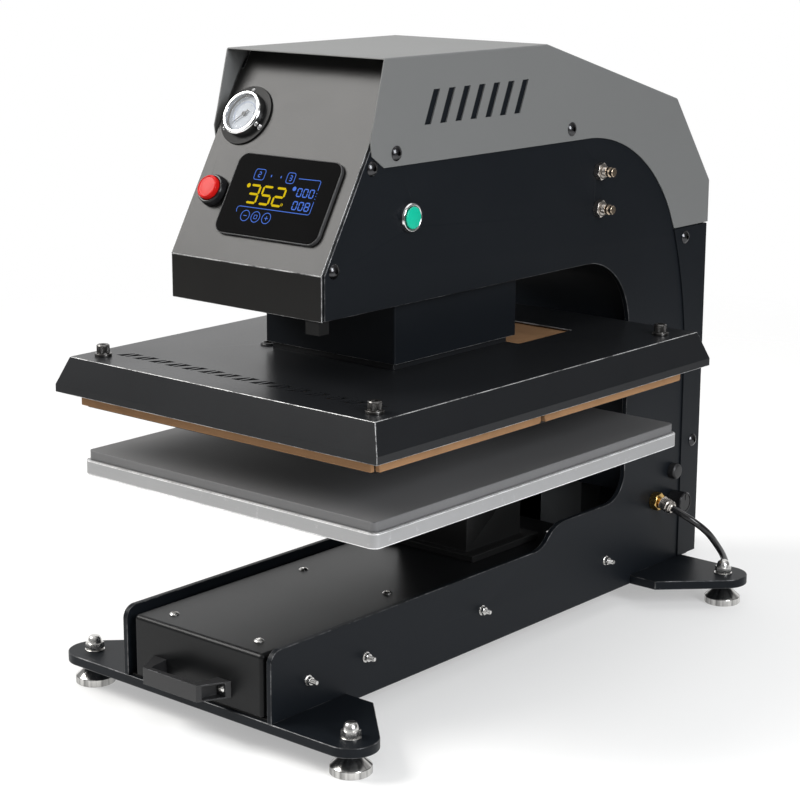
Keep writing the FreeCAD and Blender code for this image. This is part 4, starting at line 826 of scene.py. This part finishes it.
def socket_screw(radius, height, socket, depth, rim):
    """Domed screw head with a hexagon socket; its seat is at Z = 0."""
    ball = (radius ** 2 + (height - rim) ** 2) / (2 * (height - rim))
    outline = [(0.0, 0.0), (radius * 0.9, 0.0), (radius, rim * 0.3), (radius, rim)]
    top = math.asin(radius / ball)
    for k in range(1, 9):
        angle = top * (1 - k / 8)
        outline.append((ball * math.sin(angle), rim + ball * math.cos(angle) - (ball - (height - rim))))
    outline[-1] = (0.0, height)
    cutter = prism(hexagon_points(socket), height - depth, height + 1 * MM)
    return shade(carve(lathe(outline, 48), cutter), 30.0)


def hexagon_nut(flats, height, turn=0.0):
    """Hexagon with its corners chamfered as a nut's are."""
    corner = flats / math.sqrt(3)
    dome = lathe([(0.0, 0.0), (flats * 0.49, 0.0), (corner * 1.02, height * 0.16), (corner * 1.02, height * 0.84),
                  (flats * 0.49, height), (0.0, height)], 72)
    return shade(carve(prism(hexagon_points(flats, turn), 0.0, height), dome, "INTERSECT"), 20.0)


def thread(radius, low, high, pitch):
    """Outline points of a threaded length, in the unit of its measures."""
    points = []
    count = max(2, int((high - low) / pitch))
    for k in range(count):
        z = low + (high - low) * k / count
        step = (high - low) / count
        points += [(radius - pitch * 0.42, z + step * 0.05), (radius, z + step * 0.5),
                   (radius - pitch * 0.42, z + step * 0.95)]
    return points


def add_casing_screws():
    """Black domed screws on both cheeks, and the rubber cap above the regulator."""
    cap_height, cap_width, head_height = 9.4 * MM, 17.0 * MM, 4.2 * MM
    heads = []
    for low, high in islands("casing_screws"):
        if high.x - low.x > cap_height and high.z - low.z > cap_width:
            centre = middle((low, high))
            cap = eased([(0.0, 0.0), (9.5, 0.0), (9.5, 7.6), (7.4, 9.5), (0.0, 9.5)], 0.8)
            turned_piece("rubber_cap", cap, 64, facing((low.x, centre.y, centre.z), (1, 0, 0)), "handle_black",
                         body="press_frame")
        else:
            heads.append((low, high))
    pattern = socket_screw(7.5 * MM, head_height, 4.4 * MM, 2.2 * MM, 0.9 * MM)
    repeat_piece("casing_screws_domed", pattern, cheek_spots(heads, head_height), "black_screw", "casing_screws", 11)


def add_cover_bolts():
    """Socket-head bolts on collars at the cover's corners."""
    radius, height, collar_height = 6.8, 9.0, 3.0
    rim = [(0.0, 0.0), (radius, 0.0), (radius, 0.9), (radius, 1.0, 1), (radius, 7.4, 1), (radius, 7.5), (radius, 8.0),
           (radius - 0.9, height), (0.0, height)]
    socket = prism(hexagon_points(6.0 * MM), (height - 4.5) * MM, (height + 1) * MM)
    pattern = shade(joined([(disc(9.0, collar_height, 0.5, 64), Matrix.Identity(4)),
                            (carve(turned(rim, 144, 36, 0.35), socket),
                             Matrix.Translation((0, 0, collar_height * MM)))]), 34.0)
    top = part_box("cover_bolts")[1].z - (height + collar_height) * MM
    repeat_piece("cover_bolts_socket_head", pattern, top_spots("cover_bolts", top), "burnished_bolt", "cover_bolts", 5)


def add_drawer_screws():
    """Bright button-head screws on the carriage."""
    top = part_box("drawer_cover")[1].z
    seat_inset = 2.4 * MM
    big, small = [], []
    for low, high in islands("drawer_screws"):
        centre = middle((low, high))
        if high.z > top:
            big.append(((centre.x, centre.y, top), (0, 0, 1)))
        else:
            small.append(((centre.x, low.y + seat_inset, centre.z), (0, -1, 0)))
    parts = []
    for head, spots, seed in ((socket_screw(5.2 * MM, 2.8 * MM, 4.6 * MM, 1.6 * MM, 0.5 * MM), big, 3),
                              (socket_screw(4.2 * MM, 2.4 * MM, 2.6 * MM, 1.4 * MM, 0.4 * MM), small, 4)):
        parts.append((repeats.make(head, spots, "bright_screw", math.pi, seed), Matrix.Identity(4)))
    add_piece("drawer_screws_button_head", joined(parts), "bright_screw", "drawer_screws")


def add_side_bolts():
    """Washer, nut and threaded end of each rail bolt."""
    reach, washer_height = 12.0, 1.2
    stud = lathe([(0.0, 5.0 * MM)] + thread(2.5 * MM, 5.0 * MM, 11.4 * MM, 1.1 * MM) +
                 [(2.0 * MM, reach * MM), (0.0, reach * MM)], 32)
    pattern = shade(joined([(disc(5.5, washer_height, 0.25, 48), Matrix.Identity(4)),
                            (hexagon_nut(8.0 * MM, 4.0 * MM), Matrix.Translation((0, 0, washer_height * MM))),
                            (stud, Matrix.Identity(4))]), 26.0)
    repeat_piece("side_bolts_threaded", pattern, cheek_spots(islands("side_bolts"), reach * MM), "bright_screw",
                 "side_bolts", 9)


def add_cap_nuts():
    """Acorn nuts and washers over the levelling studs."""
    washer_height = 1.2
    crown = [(0.0, 7.0), (7.9, 7.0), (7.6, 8.6), (7.2, 10.4), (6.5, 12.2), (5.5, 13.6), (4.3, 14.5), (2.6, 14.95),
             (0.0, 15.0)]
    lift = Matrix.Translation((0, 0, washer_height * MM))
    pattern = shade(joined([(disc(10.5, washer_height, 0.3, 56), Matrix.Identity(4)),
                            (hexagon_nut(17.0 * MM, 7.5 * MM), lift), (turned(crown, 56), lift)]), 24.0)
    repeat_piece("foot_cap_nuts_domed", pattern, top_spots("foot_cap_nuts"), "bright_screw", "foot_cap_nuts", 21)


def add_feet():
    """Turned stainless levelling feet, each with its threaded stud."""
    outline = eased([(0.0, 0.0), (20.2, 0.0), (21.0, 0.8), (21.0, 7.6), (20.6, 8.3), (8.8, 18.9), (8.5, 19.6),
                     (8.5, 21.4), (6.9, 22.0), (6.9, 24.0), (4.6, 24.0)], 0.35)
    outline += thread(5.0, 24.3, 44.5, 1.5) + [(4.2, 45.2), (0.0, 45.2)]
    for name in ("front_left", "front_right", "rear_left", "rear_right"):
        centre = middle(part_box("levelling_foot_" + name))
        turned_piece("foot_" + name + "_turned", outline, 96, Matrix.Translation((centre.x, centre.y, 0)),
                     "stainless", "levelling_foot_" + name)


# ------------------------------------------------------------------ air hose
def hose_points():
    """The hose's route: from the inlet collar down to the floor, then round the coil."""
    run = [(0.13224, 0.29275, 0.11271), (0.14556, 0.29275, 0.10838), (0.159, 0.29875, 0.1003),
           (0.169, 0.31175, 0.087), (0.170, 0.33075, 0.068), (0.165, 0.35575, 0.047), (0.156, 0.37975, 0.024),
           (0.143, 0.39375, 0.0095), (0.121, 0.40225, 0.0041), (0.098, 0.40425, 0.0041),
           (0.075, 0.40175, 0.0041), (0.045, 0.40065, 0.0041), (0.015, 0.39995, 0.0041)]
    centre_x, centre_y = -0.008, 0.45075
    per_turn, layer, floor_z = 16, 8.2 * MM, 4.1 * MM
    swell = 1 / math.cos(math.pi / per_turn)
    last = int(5.4167 * per_turn)
    for k in range(last + 1):
        u = k / per_turn
        radius = 52.2 * MM - layer * u if u < 2.5 else 31.7 * MM + layer * (u - 2.5)
        z = floor_z + layer * min(1.0, max(0.0, (u - 2.3) / 0.4))
        late = min(1.0, max(0.0, (u - 4.85) / 0.5))
        radius -= 8.5 * MM * late
        z += 13.2 * MM * late
        turn = math.radians(-90.0 - 360.0 * u)
        run.append((centre_x + radius * swell * math.cos(turn), centre_y + radius * swell * math.sin(turn), z))
    return run


def add_hose():
    """The air hose as one smooth tube, its coil, its tie and its connector."""
    points = hose_points()
    data = bpy.data.curves.new("air_hose_tube", "CURVE")
    data.dimensions = "3D"
    data.bevel_depth = 4.0 * MM
    data.bevel_resolution = 6
    data.resolution_u = 6
    data.use_fill_caps = True
    spline = data.splines.new("NURBS")
    spline.points.add(len(points) - 1)
    for point, place in zip(spline.points, points):
        point.co = (*place, 1.0)
    spline.order_u = 3
    spline.use_endpoint_u = True
    hose = bpy.data.objects.new("air_hose_tube", data)
    bpy.context.scene.collection.objects.link(hose)
    data.materials.append(finishes["hose_black"])
    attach(hose, "press_frame")
    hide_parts("air_hose", "air_hose_coil")
    sleeve = [(0.0, 0.0), (5.5, 0.0), (5.5, 8.6), (7.0, 10.0), (7.0, 16.0), (9.0, 17.0), (9.0, 18.0), (9.0, 18.1, 1),
              (9.0, 34.9, 1), (9.0, 35.0), (9.0, 36.0), (7.5, 37.5), (7.5, 40.0), (6.6, 40.6), (7.5, 41.4), (7.5, 46.0),
              (5.2, 46.0), (5.0, 34.0), (0.0, 34.0)]
    connector = turned_piece("hose_connector_sleeve", sleeve, 96, right_seat("hose_connector"), "nickel",
                             "hose_connector", flutes=24, depth=0.5)
    tie = add_tie()


def add_tie():
    """Hook-and-loop strap round the coil's wound turns."""
    low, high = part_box("air_hose_coil")
    centre = middle((low, high))
    inner, outer, top = 30.5 * MM, 57.6 * MM, high.z + 0.9 * MM
    wall, width = 1.1 * MM, 6.5 * MM
    corner = 5.0 * MM

    loops = [round_path((x0 + x1) / 2, (z0 + z1) / 2, (x1 - x0) / 2, (z1 - z0) / 2, radius)
             for x0, x1, z0, z1, radius in ((inner - wall, outer + wall, 0.02 * MM, top + wall, corner + wall),
                                            (inner, outer, 0.09 * MM, top, corner))]
    work = bmesh.new()
    rows = []
    for y in (-width, width):
        rows.append([[work.verts.new((centre.x + a, centre.y + y, b)) for a, b in loop] for loop in loops])
    count = len(loops[0])
    for k in range(count):
        j = (k + 1) % count
        for a, b in ((rows[0][0], rows[1][0]), (rows[1][1], rows[0][1]), (rows[0][1], rows[0][0]),
                     (rows[1][0], rows[1][1])):
            work.faces.new((a[k], a[j], b[j], b[k]))
    bmesh.ops.recalc_face_normals(work, faces=work.faces)
    return add_piece("hose_tie", shade(mesh_from(work), 30.0), "strap_black", body="press_frame")


# ------------------------------------------------------------------ gauge
def dial_matrix():
    """The gauge's own axes: X across the panel, Y up its face, Z out of it."""
    joint = joint_of["needle_turn"]
    out = Vector(joint["axis"]).normalized()
    side = Vector((1, 0, 0))
    made = Matrix((side, out.cross(side), out)).transposed().to_4x4()
    made.translation = Vector(joint["pos_m"])
    return made


def add_gauge():
    """Pressure gauge: flange, screws, bezel, dial with its scale, needle and lens."""
    panel = dial_matrix()
    flange = [(0.0, -24.0), (20.9, -24.0), (20.9, -0.2), (32.0, 0.0), (32.0, 2.0), (20.9, 2.0), (20.9, 3.0), (0.0, 3.0)]
    turned_piece("gauge_flange", eased(flange, 0.5), 96, panel, "gauge_black", "gauge_case")
    spots = []
    for angle in (95.0, 215.0, 335.0):
        place = Vector((27.5 * MM * math.cos(math.radians(angle)), 27.5 * MM * math.sin(math.radians(angle)), 2.0 * MM))
        spots.append((panel @ place, panel.to_3x3() @ Vector((0, 0, 1))))
    screws = repeats.make(socket_screw(2.9 * MM, 1.7 * MM, 1.8 * MM, 0.9 * MM, 0.4 * MM), spots, "chrome", 1.0, 2)
    add_piece("gauge_screws", screws, "chrome", body="press_frame")
    ring = eased([(21.0, 2.0), (23.4, 2.0), (24.0, 2.8), (24.0, 8.6), (22.6, 10.6), (20.4, 10.6), (19.6, 9.8),
                  (19.6, 8.9), (21.0, 8.6), (21.0, 2.0)], 0.7, 4)
    turned_piece("gauge_bezel_ring", ring, 128, panel, "chrome", "gauge_bezel")
    face = turned([(1.3, 3.05), (19.5, 3.05), (19.5, 4.0), (1.3, 4.0), (1.3, 3.05)], 96)
    marks = []
    for k in range(51):
        long = k % 10 == 0
        angle = math.radians(225.0 - 270.0 * k / 50)
        length = (3.2 if long else 2.2 if k % 5 == 0 else 1.5) * MM
        half = (0.28 if long else 0.14) * MM
        bar = prism([(-half, 0), (half, 0), (half, length), (-half, length)], 0, 0.05 * MM)
        reach = 17.6 * MM - length
        marks.append((bar, panel @ Matrix.Translation((reach * math.cos(angle), reach * math.sin(angle), 4.0 * MM)) @
                      Matrix.Rotation(angle - math.pi / 2, 4, "Z")))
    for k in range(6):
        angle = math.radians(225.0 - 54.0 * k)
        centre = Vector((11.6 * MM * math.cos(angle), 11.6 * MM * math.sin(angle), 4.0 * MM))
        marks.append((written(str(2 * k), 3.6 * MM), panel @ Matrix.Translation(centre)))
    arc = [arc_strip(13.2 * MM, 13.8 * MM, 225.0, -45.0, 54)]
    add_piece("gauge_dial_face", joined([(face, panel, 0)] + [(m, t, 1) for m, t in marks] +
                                        [(m, panel @ Matrix.Translation((0, 0, 4.0 * MM)), 2) for m in arc]),
              ["dial_white", "dial_ink", "dial_blue"], "gauge_dial")
    nodes["gauge_lens"].data.materials.clear()
    nodes["gauge_lens"].data.materials.append(finishes["lens"])
    rest = math.radians(225.0)
    pointer = prism([(-6.0 * MM, -1.1 * MM), (-3.0 * MM, -0.6 * MM), (15.5 * MM, -0.22 * MM), (16.0 * MM, 0.0),
                     (15.5 * MM, 0.22 * MM), (-3.0 * MM, 0.6 * MM), (-6.0 * MM, 1.1 * MM)], 5.2 * MM, 5.9 * MM)
    hub = turned(eased([(1.1, 4.9), (2.4, 4.9), (2.4, 6.4), (1.1, 6.4)], 0.4) + [(1.1, 4.9)], 40)
    add_piece("gauge_pointer", joined([(pointer, panel @ Matrix.Rotation(rest, 4, "Z")), (hub, panel)]), "dial_ink",
              "gauge_needle")


def arc_strip(inner, outer, start, end, steps):
    """A thin flat strip along an arc."""
    work = bmesh.new()
    rows = []
    for k in range(steps + 1):
        a = math.radians(start + (end - start) * k / steps)
        rows.append([work.verts.new((r * math.cos(a), r * math.sin(a), z)) for r in (inner, outer)
                     for z in (0.0, 0.04 * MM)])
    for a, b in zip(rows, rows[1:]):
        for i, j in ((0, 1), (1, 3), (3, 2), (2, 0)):
            work.faces.new((a[i], a[j], b[j], b[i]))
    work.faces.new(rows[0][i] for i in (0, 1, 3, 2))
    work.faces.new(rows[-1][i] for i in (0, 2, 3, 1))
    bmesh.ops.recalc_face_normals(work, faces=work.faces)
    return mesh_from(work)


def written(figures, size):
    """Figures as a thin flat mesh, centred on the origin."""
    data = bpy.data.curves.new("figures", "FONT")
    data.body = figures
    data.size = size
    data.align_x = "CENTER"
    data.align_y = "CENTER"
    data.extrude = 0.02 * MM
    source = loose_object(data, "figures")
    return evaluated(source)


# ------------------------------------------------------------------ display
SEGMENTS = {"0": "abcdef", "1": "bc", "2": "abged", "3": "abgcd", "5": "afgcd", "8": "abcdefg"}


def segment_bar(length, thick):
    """One bar of a seven-segment figure, with pointed ends, along X."""
    h = thick / 2
    return [(-length / 2, 0), (-length / 2 + h, -h), (length / 2 - h, -h), (length / 2, 0), (length / 2 - h, h),
            (-length / 2 + h, h)]


def seven_segment(figure, centre, width, height, thick):
    """A lit figure as (mesh, matrix) pairs."""
    places = {"a": (0, height / 2, 0, width), "g": (0, 0, 0, width), "d": (0, -height / 2, 0, width),
              "f": (-width / 2, height / 4, 90, height / 2), "b": (width / 2, height / 4, 90, height / 2),
              "e": (-width / 2, -height / 4, 90, height / 2), "c": (width / 2, -height / 4, 90, height / 2)}
    made = []
    for name in SEGMENTS[figure]:
        x, y, turn, length = places[name]
        bar = prism(segment_bar(length - 0.25 * thick, thick), 0, 0.05 * MM)
        made.append((bar, Matrix.Translation((centre[0] + x, centre[1] + y, 0)) @
                     Matrix.Rotation(math.radians(turn), 4, "Z")))
    return made


def stroke(points, width, closed=False):
    """A thin raised line through points."""
    work = bmesh.new()
    count = len(points)
    rows = []
    for k, point in enumerate(points):
        before = Vector(points[k - 1] if k or closed else points[0])
        after = Vector(points[(k + 1) % count] if k < count - 1 or closed else points[-1])
        way = (after - before).normalized()
        side = Vector((-way.y, way.x)) * width / 2
        rows.append([work.verts.new((point[0] + side.x * s, point[1] + side.y * s, z)) for s in (-1, 1)
                     for z in (0.0, 0.05 * MM)])
    pairs = list(zip(rows, rows[1:])) + ([(rows[-1], rows[0])] if closed else [])
    for a, b in pairs:
        for i, j in ((0, 1), (1, 3), (3, 2), (2, 0)):
            work.faces.new((a[i], a[j], b[j], b[i]))
    if not closed:
        work.faces.new(rows[0][i] for i in (0, 1, 3, 2))
        work.faces.new(rows[-1][i] for i in (0, 2, 3, 1))
    bmesh.ops.recalc_face_normals(work, faces=work.faces)
    return mesh_from(work)


def round_path(cx, cy, half_x, half_y, radius, steps=6):
    """Points of a rounded rectangle."""
    points = []
    for sx, sy, first in ((1, 1, 0), (-1, 1, 90), (-1, -1, 180), (1, -1, 270)):
        for k in range(steps + 1):
            a = math.radians(first + 90 * k / steps)
            points.append((cx + sx * (half_x - radius) + radius * math.cos(a),
                           cy + sy * (half_y - radius) + radius * math.sin(a)))
    return points


def add_display():
    """Touch display: moulded frame, black glass and its lit figures."""
    soften("display_surround", "display_housing", "display_frame", 0.5 * MM, hole=0.0)
    soften("display_front", "display_glass", "display_glass", 0.4 * MM, hole=0.0)
    panel = dial_matrix()
    low, high = box_in("display_glass", panel)
    # layout in millimetres from the middle of the glass
    deck = panel @ Matrix.Translation((middle((low, high)).x, middle((low, high)).y, high.z))
    line, fine_line = 0.7, 0.6

    def dot(x, y, half_x, half_y=None, corner=None):
        """A filled dot or pill."""
        return prism(round_path(x, y, half_x, half_y or half_x, corner or half_x), 0, 0.05), Matrix.Identity(4)

    def bar(x, y, half_x, low_y, high_y):
        """A filled bar, from low_y to high_y about y."""
        return (prism([(x - half_x, y + low_y), (x + half_x, y + low_y), (x + half_x, y + high_y),
                       (x - half_x, y + high_y)], 0, 0.05), Matrix.Identity(4))

    def outline(points, width=line, closed=False):
        return stroke(points, width, closed), Matrix.Identity(4)

    key_y = -22.4
    yellow, blue = [], []
    for k, figure in enumerate("352"):
        yellow += seven_segment(figure, (-33.0 + 17.2 * k, 0.8), 12.2, 18.4, 2.3)
    yellow += [dot(-43.2, 9.2, 2.3), outline(round_path(8.6, -6.6, 1.1, 1.1, 1.1), fine_line, True)]
    for row, figures in ((8.2, "000"), (-5.6, "008")):
        for k, figure in enumerate(figures):
            blue += seven_segment(figure, (25.6 + 8.0 * k, row), 5.2, 8.2, 1.15)
    blue += [dot(17.6, 11.4, 2.3), outline([(18.5, 22.2), (46.5, 22.6), (48.0, 21.2), (48.0, 12.5)])]
    blue += [dot(48.0, y, 0.45) for y in (9.4, 6.4, 3.4)]
    blue.append(outline([(48.0, 0.5), (48.0, -11.6), (46.5, -13.2), (-45.0, -13.2), (-47.2, -14.4), (-47.8, -17.0),
                         (-46.6, -19.4)]))
    for x, sign in ((-33.6, "minus"), (-19.4, "square"), (-4.8, "plus")):
        blue.append(outline(round_path(x, key_y, 5.6, 5.6, 5.6, 8), line, True))
        if sign == "square":
            blue.append(outline(round_path(x, key_y, 1.9, 1.9, 0.5), fine_line, True))
        else:
            blue.append(bar(x, key_y, 2.2, -0.35, 0.35))
        if sign == "plus":
            blue.append(bar(x, key_y, 0.35, -2.2, 2.2))
    for x, figure, half_x in ((-34.0, "2", 6.8), (8.0, "3", 5.2)):
        blue.append(outline(round_path(x, 21.8, half_x, 5.6, 2.6), line, True))
        blue += seven_segment(figure, (x, 21.8), 3.0, 5.2, 0.9)
    blue += [dot(x, 21.6, 0.6, 1.2, 0.5) for x in (-18.0, -5.0)]
    scale = deck @ Matrix.Diagonal((MM, MM, 1.0, 1.0))
    for name, parts, finish in (("display_figures_yellow", yellow, "lit_yellow"),
                                ("display_figures_blue", blue, "lit_blue")):
        mesh = joined(parts)
        for vertex in mesh.vertices:
            vertex.co.z = 0.05 * MM if vertex.co.z > 0.01 * MM else 0.005 * MM
        mesh.transform(scale)
        add_piece(name, mesh, finish, body="press_frame")


# ------------------------------------------------------------------ buttons, valves and knobs
def add_buttons():
    """Red stop button on the panel and green start button on the right side plate."""
    panel = dial_matrix()
    centre = middle(box_in("red_button", panel))
    seat = panel @ Matrix.Translation((centre.x, centre.y, 0))
    guard = [(0.0, -26.0), (10.7, -26.0), (10.7, 0.0), (16.5, 0.0), (16.5, 3.0), (15.6, 7.4), (14.9, 9.0),
             (12.95, 9.0), (12.95, 3.0), (7.6, 3.0), (7.6, -12.0), (0.0, -12.0)]
    turned_piece("red_button_guard", eased(guard, 0.6, 4), 96, seat, "button_black", "red_button_housing")
    cap = [(0.0, -7.5), (7.4, -7.5), (7.4, 7.4), (12.5, 7.4), (12.5, 12.6), (11.5, 13.7), (10.6, 13.9), (10.0, 13.3),
           (6.0, 13.75), (0.0, 13.95)]
    turned_piece("red_button_cap", eased(cap, 0.6, 4), 96, seat, "button_red", "red_button")
    seat = right_seat("green_button_bezel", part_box("side_plate_right")[1].x)
    bezel = [(0.0, -28.0), (10.7, -28.0), (10.7, 0.0), (14.9, 0.0), (14.9, 3.2), (13.6, 5.0), (12.4, 5.0),
             (11.5, 3.9), (11.5, 1.5), (6.6, 1.5), (6.6, -10.0), (0.0, -10.0)]
    turned_piece("green_button_ring", eased(bezel, 0.5, 4), 96, seat, "chrome", "green_button_bezel")
    cap = [(0.0, -6.0), (6.4, -6.0), (6.4, 4.9), (11.1, 4.9), (11.1, 5.5), (10.3, 6.4), (0.0, 6.75)]
    turned_piece("green_button_cap", eased(cap, 0.4, 4), 96, seat, "button_green", "green_button")


def add_air_fittings():
    """Flow valves, their knobs, the inlet's brass body and its nickel tube nut."""
    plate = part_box("side_plate_right")[1].x
    stem = [(0.0, 6.6), (6.6, 6.6), (6.6, 7.6), (5.0, 8.0)] + thread(5.0, 8.0, 11.6, 0.9) + [
        (4.2, 12.0), (2.0, 12.0), (2.0, 18.0), (0.0, 18.0)]
    knob = [(2.05, 12.4), (5.0, 12.4), (5.5, 12.9), (5.5, 13.0, 1), (5.5, 16.0, 1), (5.5, 16.1), (4.2, 16.8),
            (4.0, 17.6), (4.8, 18.2), (4.8, 20.8), (4.2, 21.4), (0.0, 21.4)]
    parts = []
    for name in ("upper", "lower"):
        seat = right_seat("flow_knob_" + name, plate)
        parts += [(hexagon_nut(17.0 * MM, 7.0 * MM, 15.0), seat), (turned(stem, 48), seat)]
        turned_piece("flow_knob_" + name + "_knurled", knob, 80, seat, "warm_nickel", "flow_knob_" + name,
                     flutes=20, depth=0.45)
    start, following = Vector(hose_points()[0]), Vector(hose_points()[1])
    way = (following - start).normalized()
    length = 15.5
    nut = [(0.0, 0.0), (8.0, 0.0), (8.0, 0.2, 1), (8.0, 8.4, 1), (8.0, 8.6), (7.2, 9.6), (7.2, 10.4), (7.8, 11.0),
           (7.8, 12.6), (6.6, 13.6), (6.6, 14.4), (5.6, length), (4.1, length),
           (4.1, length - 4.0), (0.0, length - 4.0)]
    parts.append((turned(nut, 108, 18, 0.7), facing(start - way * length * MM, way)))
    add_piece("air_fittings_nickel", shade(joined(parts), 26.0), "nickel", "air_fittings")
    neck = turned([(0.0, 9.0), (5.0, 9.0), (5.0, 13.4), (0.0, 13.4)], 48)
    seat = right_seat("inlet_fitting", plate)
    body = joined([(part, seat) for part in (hexagon_nut(19.0 * MM, 10.0 * MM, 10.0), neck, disc(9.0, 1.2, 0.3, 64))])
    add_piece("inlet_fitting_brass", shade(body, 24.0), "brass", "inlet_fitting")


def add_regulator_knob():
    """Black regulator knob with a polished rim line and a pointer groove."""
    outline = [(5.05, 0.0), (12.2, 0.0), (12.6, 0.8), (12.6, 1.2, 1), (12.6, 15.6, 1), (12.6, 16.0), (12.6, 18.3),
               (11.6, 19.5), (10.5, 19.5), (9.9, 18.7), (0.0, 18.7)]
    groove = prism([(x * MM, y * MM) for x, y in ((-0.8, 3.0), (0.8, 3.0), (0.8, 14.0), (-0.8, 14.0))],
                   17.9 * MM, 21.0 * MM)
    knob = shade(carve(turned(outline, 144, 36, 0.3), groove), 30.0)
    add_piece("regulator_knob_grip", joined([(knob, right_seat("regulator_knob"))]), "button_black", "regulator_knob")


# ------------------------------------------------------------------ sheet metal, platens and the rest
def add_casing():
    """Folded and welded sheet-metal pieces with rounded edges; the second coat in a list is a painted highlight on
    those edges.
    """
    for node in ("side_plate_right", "side_plate_left"):
        soften(node + "_sheet", node, ["side_black", "soft_edge"], 0.7 * MM)
    for node in ("front_foot_plate", "rear_foot_plate"):
        soften(node + "_bar", node, ["side_black", "soft_edge"], 0.9 * MM)
    soften("top_cowling_sheet", "top_cowling", "grey_paint", 0.35 * MM)
    soften("rear_cover_sheet", "rear_cover", "side_black", 0.35 * MM)
    soften("control_panel_sheet", "control_panel", ["panel_black", "worn_edge"], 0.5 * MM, hole=170 * MM)
    soften("platen_cover_sheet", "platen_cover", ["cover_black", "worn_edge"], 0.6 * MM)
    soften("drawer_cover_sheet", "drawer_cover", ["drawer_black", "soft_edge"], 0.5 * MM)
    soften("shroud_outer_sheet", "shroud_outer", ["side_black", "worn_edge"], 0.4 * MM)
    soften("shroud_inner_sheet", "shroud_inner", "cover_black", 0.3 * MM)
    soften("drawer_handle_grip", "drawer_handle", ["handle_black", "soft_edge"], 0.25 * MM, hole=0.0)
    soften("pedestal_weldment", "pedestal", "inner_black", 1.0 * MM)
    soften("mains_inlet_body", "power_inlet", "button_black", 0.3 * MM, hole=0.0)


def add_platens():
    """Heated plate, insulation, silicone pad and aluminium platen."""
    soften("heating_platen_plate", "heating_platen", "hot_plate_alloy", 0.8 * MM)
    soften("insulation_boards", "insulation", "insulation", 0.8 * MM, hole=0.0)
    # the lower platen's rounded edges carry a painted bright highlight
    soften("lower_platen_plate", "lower_platen", ["platen_alloy", "bright_edge"], 0.7 * MM)
    soften("silicone_pad_sheet", "silicone_pad", "silicone", 1.0 * MM, 3)


def coat_inner_nodes():
    """Finishes for the CAD nodes that are shown as they are."""
    coats = {"base_tray": "inner_black", "column_web": "side_black", "head_base_plate": "inner_black",
             "head_spacers": "machined_steel", "cylinder_barrel": "cylinder_alloy", "cylinder_caps": "cylinder_alloy",
             "guide_bushes": "bronze", "drawer_rails_outer": "machined_steel", "drawer_rails_inner": "machined_steel",
             "air_valves": "valve_grey", "controller_board": "board_green", "pressure_plate": "machined_steel",
             "guide_rods": "ground_steel", "piston_rod": "ground_steel"}
    for node, coat in coats.items():
        nodes[node].data.materials.clear()
        nodes[node].data.materials.append(finishes[coat])


add_camera()
finishes = make_finishes()
repeats = Repeats()
add_studio()
add_hose()
add_casing()
add_platens()
add_gauge()
add_display()
add_buttons()
add_air_fittings()
add_regulator_knob()
add_casing_screws()
add_cover_bolts()
add_drawer_screws()
add_side_bolts()
add_cap_nuts()
add_feet()
coat_inner_nodes()
